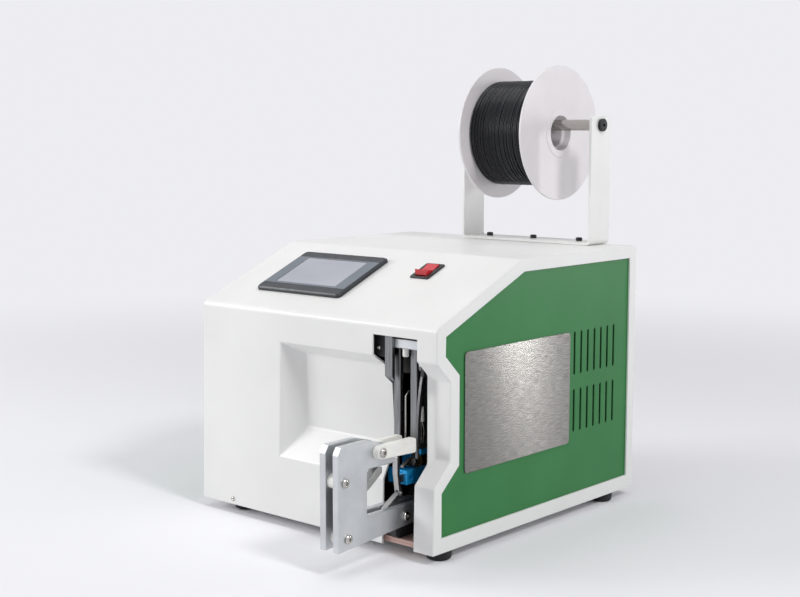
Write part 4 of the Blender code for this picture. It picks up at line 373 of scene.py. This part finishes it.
# Shapes; sizes are in mm, and so are places, from the housing's lower front edge

SLOPE_FRONT, SLOPE_LOW = 5.7, 230.0                 # y and z of the sloped face's lower edge
SLOPE_RUN, SLOPE_RISE = 141.3, 60
SLOPE_TILT = math.atan2(SLOPE_RISE, SLOPE_RUN)
TUBE_SIDES = 8


def on_slope(x, up, height):
    """A place on the sloped face: mm across it, up it and above it."""
    return at(x, SLOPE_FRONT + up * math.cos(SLOPE_TILT) - height * math.sin(SLOPE_TILT),
              SLOPE_LOW + up * math.sin(SLOPE_TILT) + height * math.cos(SLOPE_TILT))


def loft(bm, loops, closed=False):
    """Skin neighbouring loops with faces, and cap the two ends or join the last loop to the first."""
    rings = [[bm.verts.new(point) for point in loop] for loop in loops]
    pairs = list(zip(rings, rings[1:]))
    if closed:
        pairs.append((rings[-1], rings[0]))
    else:
        bm.faces.new(rings[0][::-1])
        bm.faces.new(rings[-1])
    for low, high in pairs:
        for here in range(len(low)):
            there = (here + 1) % len(low)
            bm.faces.new((low[here], low[there], high[there], high[here]))


def turned(profile, axis, centre, steps):
    """Loops of a turned shape; an entry is (radius, along), or (half width, along, sides) if flat."""
    loops = []
    for size, along, *sides in profile:
        loop = []
        for step in range(steps):
            angle = 2 * math.pi * step / steps
            radius = size
            if sides:
                half = math.pi / sides[0]
                radius = size / math.cos(angle % (2 * half) - half)
            u, v = centre[0] + radius * math.cos(angle), centre[1] + radius * math.sin(angle)
            loop.append({'X': at(along, u, v), 'Y': at(u, along, v), 'Z': at(u, v, along)}[axis])
        loops.append(loop)
    return loops


def eased(profile, radius, steps=3):
    """Round the corners of a closed profile by about that radius, or less on a short side."""
    points = [Vector(point) for point in profile]
    result = []
    for before, corner, after in zip(points[-1:] + points, points, points[1:] + points[:1]):
        cut = min(radius, (before - corner).length / 2.2, (after - corner).length / 2.2)
        start = corner + (before - corner).normalized() * cut
        end = corner + (after - corner).normalized() * cut
        for step in range(steps + 1):
            share = step / steps
            result.append(start.lerp(corner, share).lerp(corner.lerp(end, share), share))
    return [tuple(point) for point in result]


def tube(bm, route, radius):
    """Round tube of that radius in mm along a route of places in metres, with flat ends."""
    side = Vector((1, 0, 0))
    loops = []
    for index, place in enumerate(route):
        before, after = route[max(index - 1, 0)], route[min(index + 1, len(route) - 1)]
        along = (after - before).normalized()
        side = (side - along * side.dot(along)).normalized()
        up = along.cross(side)
        loops.append([place + (side * math.cos(2 * math.pi * step / TUBE_SIDES)
                               + up * math.sin(2 * math.pi * step / TUBE_SIDES)) * radius * MM
                      for step in range(TUBE_SIDES)])
    loft(bm, loops)


def rounded_box(x, up, width, length, radius, steps=6):
    """Corner-rounded rectangle as points, in mm."""
    points = []
    for quarter, (right, top) in enumerate(((1, 1), (-1, 1), (-1, -1), (1, -1))):
        for step in range(steps + 1):
            angle = math.pi / 2 * (quarter + step / steps)
            points.append((x + right * (width / 2 - radius) + radius * math.cos(angle),
                           up + top * (length / 2 - radius) + radius * math.sin(angle)))
    return points


def piece(name, bm, material, body, slot, *stands_for, sharp_degrees=35):
    """Make mesh work a piece: smooth but for its sharp edges, on its body; its slot is not used."""
    bmesh.ops.recalc_face_normals(bm, faces=bm.faces)
    for face in bm.faces:
        face.smooth = True
    mesh = bpy.data.meshes.new(name)
    bm.to_mesh(mesh)
    bm.free()
    mesh.set_sharp_from_angle(angle=math.radians(sharp_degrees))
    mesh.materials.append(material)
    thing = bpy.data.objects.new(name, mesh)
    bpy.context.scene.collection.objects.link(thing)
    flats = thing.modifiers.new("even_flats", 'WEIGHTED_NORMAL')     # keeps wide flats flat
    flats.keep_sharp = True
    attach(thing, body)
    if stands_for:
        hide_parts(*stands_for)


# Spool

AXLE = (350.0, 421.3)                               # y and z of the spool's axis
SPOOL_LEFT, SPOOL_RIGHT = -13.75, 79.35
FLANGE = 3.1
FLANGE_RADIUS, HUB_RADIUS, BORE_RADIUS = 80.0, 27.0, 16.3
RECESS_RADIUS, RECESS_DEPTH = 20.6, 9.0
BOSS_RADIUS, BOSS_STEP, BOSS_DRAFT = 28.8, 0.8, 0.3
HUB_FLARE = 2.5
SPOOL_ROUND, SPOOL_STEPS = 0.9, 160


def build_spool():
    """Moulded spool: rounded rims, a step round the bore and a hub that widens into the flanges."""
    half = [(BORE_RADIUS, RECESS_DEPTH), (RECESS_RADIUS, RECESS_DEPTH),
            (RECESS_RADIUS, -BOSS_STEP), (BOSS_RADIUS, -BOSS_STEP), (BOSS_RADIUS + BOSS_DRAFT, 0),
            (FLANGE_RADIUS, 0), (FLANGE_RADIUS, FLANGE), (HUB_RADIUS + HUB_FLARE, FLANGE),
            (HUB_RADIUS, FLANGE + HUB_FLARE)]
    profile = [(radius, SPOOL_LEFT + along) for radius, along in half]
    profile += [(radius, SPOOL_RIGHT - along) for radius, along in reversed(half)]
    bm = bmesh.new()
    loft(bm, turned(eased(profile, SPOOL_ROUND), 'X', AXLE, SPOOL_STEPS), closed=True)
    piece("moulded_spool", bm, FINISHES["spool_plastic"], "spool", "spool_plastic", "spool")


# Winding

SIDE_GAP = 0.1                                      # between the winding and the flanges
WOUND_LEFT, WOUND_RIGHT = SPOOL_LEFT + FLANGE + SIDE_GAP, SPOOL_RIGHT - FLANGE - SIDE_GAP
WOUND_RADIUS = 63.4
STRAND_RADIUS, STRAND_TURNS, STRAND_STEPS = 1.05, 39, 72
STRAND_SINK = 0.25                                  # of an even strand below the winding's radius
END_STEPS = STRAND_STEPS / 6                        # over which each end dips into the winding
END_DIP = 1.6
WINDING_SEED = 11
# Waves that put the strand out of line: how many there are, then the ranges for how many fit
# in a turn, where they start and how far they move it
WAVES, WAVE_PACE, WAVE_START, WAVE_SIZE = 7, (0.15, 2.4), (0, 6.28), (0.05, 0.11)
BULGE_PACE_SHARE = 1.3                              # of the pace of the waves sideways
LAYER_DROP = 0.3                                    # from an even strand to the layer below
LAYER_INSIDE = HUB_RADIUS + 2.7
LAYER_STEPS = 96
RIDGES, RIDGE_DEPTH = 40, 0.9
# One ridge of the layer below: share of its width, and depth under its crest
RIDGE_SHAPE = ((0.0, RIDGE_DEPTH), (0.2, 0.25), (0.5, 0.0), (0.8, 0.25))


def build_strand():
    """Tie wire laid turn by turn, each a little out of line."""
    wander = random.Random(WINDING_SEED)
    waves = [(wander.uniform(*WAVE_PACE), wander.uniform(*WAVE_START), wander.uniform(*WAVE_SIZE))
             for _ in range(WAVES)]
    first = WOUND_LEFT + STRAND_RADIUS
    run = WOUND_RIGHT - STRAND_RADIUS - first
    total = STRAND_TURNS * STRAND_STEPS
    route = []
    for step in range(total + 1):
        angle = 2 * math.pi * step / STRAND_STEPS
        drift = sum(size * math.sin(pace * angle + start) for pace, start, size in waves)
        bulge = sum(size * math.cos(pace * BULGE_PACE_SHARE * angle + start)
                    for pace, start, size in waves)
        near_end = min(step, total - step) / END_STEPS
        dip = END_DIP * max(0.0, 1 - near_end) ** 2
        freedom = min(1.0, near_end)
        radius = WOUND_RADIUS - STRAND_RADIUS - STRAND_SINK + freedom * bulge - dip
        route.append(at(first + run * step / total + freedom * drift,
                        AXLE[0] + radius * math.sin(angle), AXLE[1] + radius * math.cos(angle)))
    bm = bmesh.new()
    tube(bm, route, STRAND_RADIUS)
    piece("wound_tie_wire", bm, FINISHES["wire_plastic"], "spool", "wire_plastic", "wire_turns")


def build_layer_below():
    """The ridged layer of wire that shows between the turns of the strand."""
    crest = WOUND_RADIUS - 2 * STRAND_RADIUS - LAYER_DROP
    profile = [(LAYER_INSIDE, WOUND_LEFT)]
    for index in range(RIDGES):
        for share, depth in RIDGE_SHAPE:
            along = WOUND_LEFT + (WOUND_RIGHT - WOUND_LEFT) * (index + share) / RIDGES
            profile.append((crest - depth, along))
    profile += [(crest - RIDGE_DEPTH, WOUND_RIGHT), (LAYER_INSIDE, WOUND_RIGHT)]
    bm = bmesh.new()
    loft(bm, turned(profile, 'X', AXLE, LAYER_STEPS), closed=True)
    piece("wire_layer_below", bm, FINISHES["wire_plastic"], "spool", "wire_plastic", "wire_pack",
          sharp_degrees=60)


# Screws

SCREW_STEPS, SOCKET_SIDES, GRIP_SIDES = 48, 6, 24
HEAD_EDGE = 0.15
DOME_SHARES = (0.12, 0.3, 0.5, 0.7, 0.85, 1.0)      # from the head's edge to the socket's rim
RIM_SHARE = 1.3                                     # of the socket's half width
GROOVE_AT, GROOVE_SHARES = 0.5, (0.4, 1.4, 1.8)     # share of the dome, and of the ring's depth
TIP_RADIUS_SHARE, TIP_LENGTH_SHARE = 0.6, 0.4       # of the shank's radius
SOCKET_SINK = 0.2                                   # from the rim to the socket's flat sides
SOCKET_POINT, SOCKET_POINT_SHARE = 0.4, 0.3
# Head radius, height and dome; socket half width and depth; shank radius and length
GUIDE_SCREW = {"head": 4.65, "height": 2.7, "dome": 1.35, "socket": 1.8, "depth": 1.9, "shank": 2.5}
SHAFT_SCREW = {"head": 7.4, "height": 4.0, "dome": 0.7, "socket": 2.0, "depth": 2.2, "shank": 3.0,
               "length": 13.8, "knurled": True, "ring": 0.5}
BRACKET_SCREW = {"head": 3.9, "height": 4.2, "dome": 0.5, "socket": 1.7, "depth": 2.0, "shank": 2.0,
                 "length": 9.0, "knurled": True}
FRONT_SCREW = {"head": 2.7, "height": 1.5, "dome": 1.1, "socket": 0.9, "depth": 0.8, "shank": 1.4,
               "length": 7.0}
HOOK_SCREW = {"head": 2.2, "height": 1.5, "dome": 0.8, "socket": 0.85, "depth": 0.9, "shank": 1.3,
              "length": 2.8}
RAIL_SCREW = {"head": 2.6, "height": 1.8, "dome": 0.5, "socket": 1.1, "depth": 1.1, "shank": 1.5,
              "length": 4.0}
PLATE_FACE, LEVER_FACE = 133.3, 141.6               # x of the faces under the screws' heads
PLATE_GRIP, LEVER_GRIP = 22.8, 31.4
# Name, y and z, face and shank length of the screws through the guide plates
PLATE_SCREWS = (("guide_screw_upper", (-83, 85), PLATE_FACE, PLATE_GRIP),
                ("guide_screw_lower", (-79, 28), PLATE_FACE, PLATE_GRIP),
                ("guide_screw_arm", (6.8, 33), PLATE_FACE, PLATE_GRIP),
                ("gate_pivot_screw", (-37.4, 108.3), LEVER_FACE, LEVER_GRIP))
SHAFT = (350.0, 430.8)                              # y and z of the shaft's axis
# Name, face and the way the head points
SHAFT_SCREWS = (("shaft_screw_left", -54.5, -1), ("shaft_screw_right", 137.3, 1))
BRACKET_SCREWS_X = (-25.6, 41.4, 108.4)
BRACKET_FLOOR = 293.4
# Name, axis, place across the axis, face, the way the head points, slot and kind
SMALL_SCREWS = (("front_screw", 'Y', (-122.9, 6.8), 0.0, -1, "bright_steel", FRONT_SCREW),
                ("hook_bracket_screw", 'Y', (89.5, 202.0), 14.3, -1, "bright_steel", HOOK_SCREW),
                ("rail_side_screw", 'X', (23.0, 108.4), 135.7, 1, "black_steel", RAIL_SCREW))


def screw(name, axis, centre, seat, towards, slot, *stands_for, head, height, dome, socket, depth,
          shank, length, knurled=False, ring=0.0):
    """Socket screw: head with a hexagonal socket, and its shank behind the seat."""
    grip = (GRIP_SIDES,) if knurled else ()
    rim = socket * RIM_SHARE
    profile = [(shank * TIP_RADIUS_SHARE, -length), (shank, -length + shank * TIP_LENGTH_SHARE),
               (shank, 0), (head - HEAD_EDGE, 0), (head, HEAD_EDGE, *grip),
               (head, height - dome, *grip)]
    for share in DOME_SHARES:
        radius = head - (head - rim) * share
        profile.append((radius, height - dome * (1 - share) ** 2))
        if ring and share == GROOVE_AT:
            low = profile[-1][1]
            start, end, back = (radius - ring * part for part in GROOVE_SHARES)
            profile += [(start, low - ring), (end, low - ring), (back, low)]
    profile += [(socket, height - SOCKET_SINK, SOCKET_SIDES), (socket, height - depth, SOCKET_SIDES),
                (socket * SOCKET_POINT_SHARE, height - depth - SOCKET_POINT)]
    profile = [(entry[0], seat + towards * entry[1], *entry[2:]) for entry in profile]
    bm = bmesh.new()
    loft(bm, turned(profile, axis, centre, SCREW_STEPS))
    piece(name, bm, FINISHES[slot], "machine", slot, *stands_for)


def build_screws():
    """Every screw whose head shows, with a real socket."""
    for name, place, face, grip in PLATE_SCREWS:
        screw(name + "_socketed", 'X', place, face, 1, "bright_steel", name, length=grip,
              **GUIDE_SCREW)
    for name, face, towards in SHAFT_SCREWS:
        screw(name + "_socketed", 'X', SHAFT, face, towards, "black_steel", name, **SHAFT_SCREW)
    for index, x in enumerate(BRACKET_SCREWS_X):
        screw("bracket_screw_%d" % (index + 1), 'Z', (x, AXLE[0]), BRACKET_FLOOR, 1, "black_steel",
              **BRACKET_SCREW)
    for name, axis, place, face, towards, slot, kind in SMALL_SCREWS:
        screw(name, axis, place, face, towards, slot, **kind)


# Screen film

FILM = 0.15
FILM_BACK = 4.8                                     # height above the sloped face
# Places are x and mm up the slope
FILM_PLACE, FILM_SIZE, FILM_CORNER = (-55.65, 80.0), (125.5, 63.0), 1.5
DISPLAY_PLACE, DISPLAY_SIZE, DISPLAY_CORNER = (-55.65, 80.5), (93.0, 58.0), 1.2


def printed_film():
    """Polyester film printed blue-grey on its underside: even, satin, with soft light across it."""
    material, tree, shader, place = finish("printed_polyester_film", 0.34, Coat_Weight=0.2,
                                           Coat_Roughness=0.2)
    tones(tree, shader, stretched(tree, place, (60, 60, 60)), "#5E6771", "#69727C")
    rough_between(tree, shader, stretched(tree, place, (9, 9, 9)), low=0.30, high=0.38)
    speckle = stretched(tree, place, (0.7, 0.7, 0.7))
    relief(tree, shader, speckle, height_mm=0.01, strength=0.2, edge_mm=0.0)
    return material


def build_screen_film():
    """Film round the display, on the front of the screen's housing."""
    outer = rounded_box(*FILM_PLACE, *FILM_SIZE, FILM_CORNER)
    inner = rounded_box(*DISPLAY_PLACE, *DISPLAY_SIZE, DISPLAY_CORNER)
    front = FILM_BACK + FILM
    loops = [[on_slope(x, up, height) for x, up in outline]
             for outline, height in ((outer, FILM_BACK), (outer, front), (inner, front),
                                     (inner, FILM_BACK))]
    bm = bmesh.new()
    loft(bm, loops, closed=True)
    piece("screen_film", bm, printed_film(), "machine", "screen_plastic")


# Inlet pins

PIN_PLACES = ((-127.0, 43.0), (-113.0, 43.0), (-120.0, 47.5))        # x and z
PIN_WIDTH, PIN_HEIGHT, PIN_CORNER, PIN_CORNER_STEPS = 2.0, 4.0, 0.35, 2
PIN_OUTLINES = ((0.0, 354.0), (0.0, 367.0), (0.25, 367.8), (0.6, 368.2))     # inset and y


def build_inlet_pins():
    """Three flat plated pins of the mains inlet, with broken tips, in its pocket."""
    bm = bmesh.new()
    for x, z in PIN_PLACES:
        loops = []
        for inset, y in PIN_OUTLINES:
            outline = rounded_box(x, z, PIN_WIDTH - 2 * inset, PIN_HEIGHT - 2 * inset, PIN_CORNER,
                                  PIN_CORNER_STEPS)
            loops.append([at(u, y, v) for u, v in outline])
        loft(bm, loops)
    piece("inlet_pins", bm, FINISHES["bright_steel"], "machine", "bright_steel")


# Sensor stems

STEM_X, STEM_Y, STEM_TOP, STEM_BOTTOM = 134.9, 28.9, 128.3, 105.2
STEM_RADIUS, STEM_STEPS = 0.4, 16
STEM_SPREAD, STEM_BOW_OUT, STEM_BOW_BACK = 0.9, 0.9, 1.6


def build_sensor_stems():
    """Two bent wire stems that hold the sensor off the rail base."""
    bm = bmesh.new()
    for side in (-1, 1):
        route = []
        for step in range(STEM_STEPS + 1):
            share = step / STEM_STEPS
            bow = math.sin(math.pi * share)
            route.append(at(STEM_X + side * (STEM_SPREAD + STEM_BOW_OUT * bow),
                            STEM_Y + STEM_BOW_BACK * bow,
                            STEM_TOP - (STEM_TOP - STEM_BOTTOM) * share))
        tube(bm, route, STEM_RADIUS)
    piece("sensor_stems", bm, FINISHES["bright_steel"], "machine", "bright_steel")


# Vent shade sheets: black sheets behind the vents, painted shade

SHADE_SHEET_PLACE, SHADE_SHEET_CORNER = (285.6, 143.7), 5.0                    # y and z, and a radius
SHADE_SHEET_WIDTH, SHADE_SHEET_HEIGHT = 92.0, 128.0
SHADE_SHEET_FRONT, SHADE_SHEET_BACK = 171.1, 167.6            # from the middle of the machine
SHADE_SHEET_EDGE, SHADE_SHEET_EDGE_SHARE = 0.7, 0.2


def black_shade_foam():
    """Black sheet with open cells about 0.8 mm across, drawn as foam: painted shade behind the vents.
    """
    material, tree, shader, place = finish("black_shade_sheet_foam", 0.9,
                                           Specular_IOR_Level=0.2)
    cells = stretched(tree, place, (0.8, 0.8, 0.8), detail=1.0)
    tones(tree, shader, cells, "#060607", "#111213")
    relief(tree, shader, cells, height_mm=0.3, strength=0.8, edge_mm=0.0)
    return material


def build_vent_shade_sheets():
    """Black sheets behind the side vents: painted shade that shows black through the slots."""
    shade_foam = black_shade_foam()
    for name, side in (("left_vent_shade_sheet", -1), ("right_vent_shade_sheet", 1)):
        front, back = side * SHADE_SHEET_FRONT, side * SHADE_SHEET_BACK
        bm = bmesh.new()
        loops = []
        for x, inset in ((front, 0.0), (back + (front - back) * SHADE_SHEET_EDGE_SHARE, 0.0),
                         (back, SHADE_SHEET_EDGE)):
            outline = rounded_box(*SHADE_SHEET_PLACE, SHADE_SHEET_WIDTH - 2 * inset,
                                  SHADE_SHEET_HEIGHT - 2 * inset, SHADE_SHEET_CORNER)
            loops.append([at(x, y, z) for y, z in outline])
        loft(bm, loops)
        piece(name, bm, shade_foam, "machine", "rubber")


# Stage, light and camera; the stage's and the lights' places and sizes are in metres

BACKDROP, FLOOR, FILL_LIGHT = "#EDEDF1", "#F4F4F7", "#F4F4F8"
FILL = 0.35                                         # the room's own light
FLOOR_REACH = 14
FADE_START, FADE_END = 0.5, 2.2                     # from the middle of the floor
OVERHEAD, FRONT, RIGHT, STRIP = 13.0, 42.0, 27.0, 4.6      # W
MACHINE, NAME_PLATE = (0, 0, 0.2), (0.17, -0.02, 0.15)     # what the lights are aimed at
PHOTO_WIDTH, FOCAL_LENGTH = 800, 1373.75            # pixels
SENSOR_WIDTH = 36                                   # mm
CAMERA_PLACE = (1031.0, -1023.7, 423.3)             # mm from the housing's lower front edge
CAMERA_AZIMUTH, CAMERA_ELEVATION = 41.3244, 6.9323  # degrees


def seen_rays(tree):
    """1 for camera, mirror and see-through rays, which meet the backdrop itself, and 0 for light."""
    ray = add(tree, "ShaderNodeLightPath")
    mirrored = add(tree, "ShaderNodeMath", {0: ray.outputs["Is Glossy Ray"],
                                            1: ray.outputs["Is Transmission Ray"]},
                   operation='MAXIMUM')
    return add(tree, "ShaderNodeMath", {0: ray.outputs["Is Camera Ray"],
                                        1: mirrored.outputs[0]}, operation='MAXIMUM').outputs[0]


def build_floor():
    """Pale floor that keeps the shadow and fades into the backdrop's colour."""
    bm = bmesh.new()
    bmesh.ops.create_grid(bm, x_segments=2, y_segments=2, size=FLOOR_REACH)
    mesh = bpy.data.meshes.new("floor")
    bm.to_mesh(mesh)
    bm.free()
    floor = bpy.data.objects.new("floor", mesh)
    bpy.context.scene.collection.objects.link(floor)

    material, tree, shader, place = finish("pale_paper_floor", 0.9)
    shader.inputs["Base Color"].default_value = linear(FLOOR)
    glow = add(tree, "ShaderNodeEmission", {"Color": linear(BACKDROP), "Strength": 1.0})
    away = add(tree, "ShaderNodeVectorMath", {0: place}, operation='LENGTH')
    fade = add(tree, "ShaderNodeMapRange", {"Value": away.outputs["Value"], "From Min": FADE_START,
                                            "From Max": FADE_END}, interpolation_type='SMOOTHSTEP')
    share = add(tree, "ShaderNodeMath", {0: fade.outputs[0], 1: seen_rays(tree)},
                operation='MULTIPLY')
    mixed = add(tree, "ShaderNodeMixShader", {0: share.outputs[0], 1: shader.outputs[0],
                                              2: glow.outputs[0]})
    tree.links.new(mixed.outputs[0], tree.nodes["Material Output"].inputs["Surface"])
    floor.data.materials.append(material)


def build_room():
    """The backdrop where it is seen, and weak even light from all sides."""
    world = bpy.data.worlds.new("studio")
    bpy.context.scene.world = world
    world.use_nodes = True
    tree = world.node_tree
    seen = add(tree, "ShaderNodeBackground", {"Color": linear(BACKDROP), "Strength": 1.0})
    fill = add(tree, "ShaderNodeBackground", {"Color": linear(FILL_LIGHT), "Strength": FILL})
    mixed = add(tree, "ShaderNodeMixShader", {0: seen_rays(tree), 1: fill.outputs[0],
                                              2: seen.outputs[0]})
    tree.links.new(mixed.outputs[0], tree.nodes["World Output"].inputs["Surface"])


def softbox(name, power, place, aim, width, height, upright=(0, 0, 1)):
    """Area light turned towards a point, its height along upright."""
    lamp = bpy.data.lights.new(name, 'AREA')
    lamp.shape = 'RECTANGLE'
    lamp.size = width
    lamp.size_y = height
    lamp.energy = power
    thing = bpy.data.objects.new(name, lamp)
    thing.location = place
    back = (Vector(place) - Vector(aim)).normalized()
    across = Vector(upright).cross(back).normalized()
    turned_to = Matrix((across, back.cross(across), back)).transposed()
    thing.rotation_euler = turned_to.to_euler()
    bpy.context.scene.collection.objects.link(thing)


def build_lights():
    """Boxes overhead, front left and high on the right; an upright strip behind, on the right,
    draws the plate's band."""
    softbox("overhead_softbox", OVERHEAD, place=(-0.1, -0.2, 2.3), aim=MACHINE, width=1.6, height=1.6)
    softbox("front_softbox", FRONT, place=(-2.2, -1.7, 1.1), aim=MACHINE, width=1.2, height=1.0)
    softbox("right_softbox", RIGHT, place=(2.1, -0.45, 2.1), aim=MACHINE, width=0.5, height=0.5)
    softbox("band_strip", STRIP, place=(1.36, 1.615, 0.45), aim=NAME_PLATE, width=0.05, height=0.7,
            upright=(-0.26, 0, 0.97))


def build_camera():
    """Camera that repeats the photograph's view."""
    camera = bpy.data.cameras.new("camera")
    camera.sensor_width = SENSOR_WIDTH
    camera.sensor_fit = 'HORIZONTAL'
    camera.lens = FOCAL_LENGTH / PHOTO_WIDTH * SENSOR_WIDTH
    thing = bpy.data.objects.new("camera", camera)
    thing.location = at(*CAMERA_PLACE)
    thing.rotation_euler = (math.pi / 2 - math.radians(CAMERA_ELEVATION), 0,
                            math.radians(CAMERA_AZIMUTH))
    bpy.context.scene.collection.objects.link(thing)
    bpy.context.scene.camera = thing


bpy.context.scene.view_settings.view_transform = 'Standard'
build_camera()
build_floor()
build_room()
build_lights()
dress_nodes()
build_spool()
build_strand()
build_layer_below()
build_screws()
build_screen_film()
build_inlet_pins()
build_sensor_stems()
build_vent_shade_sheets()
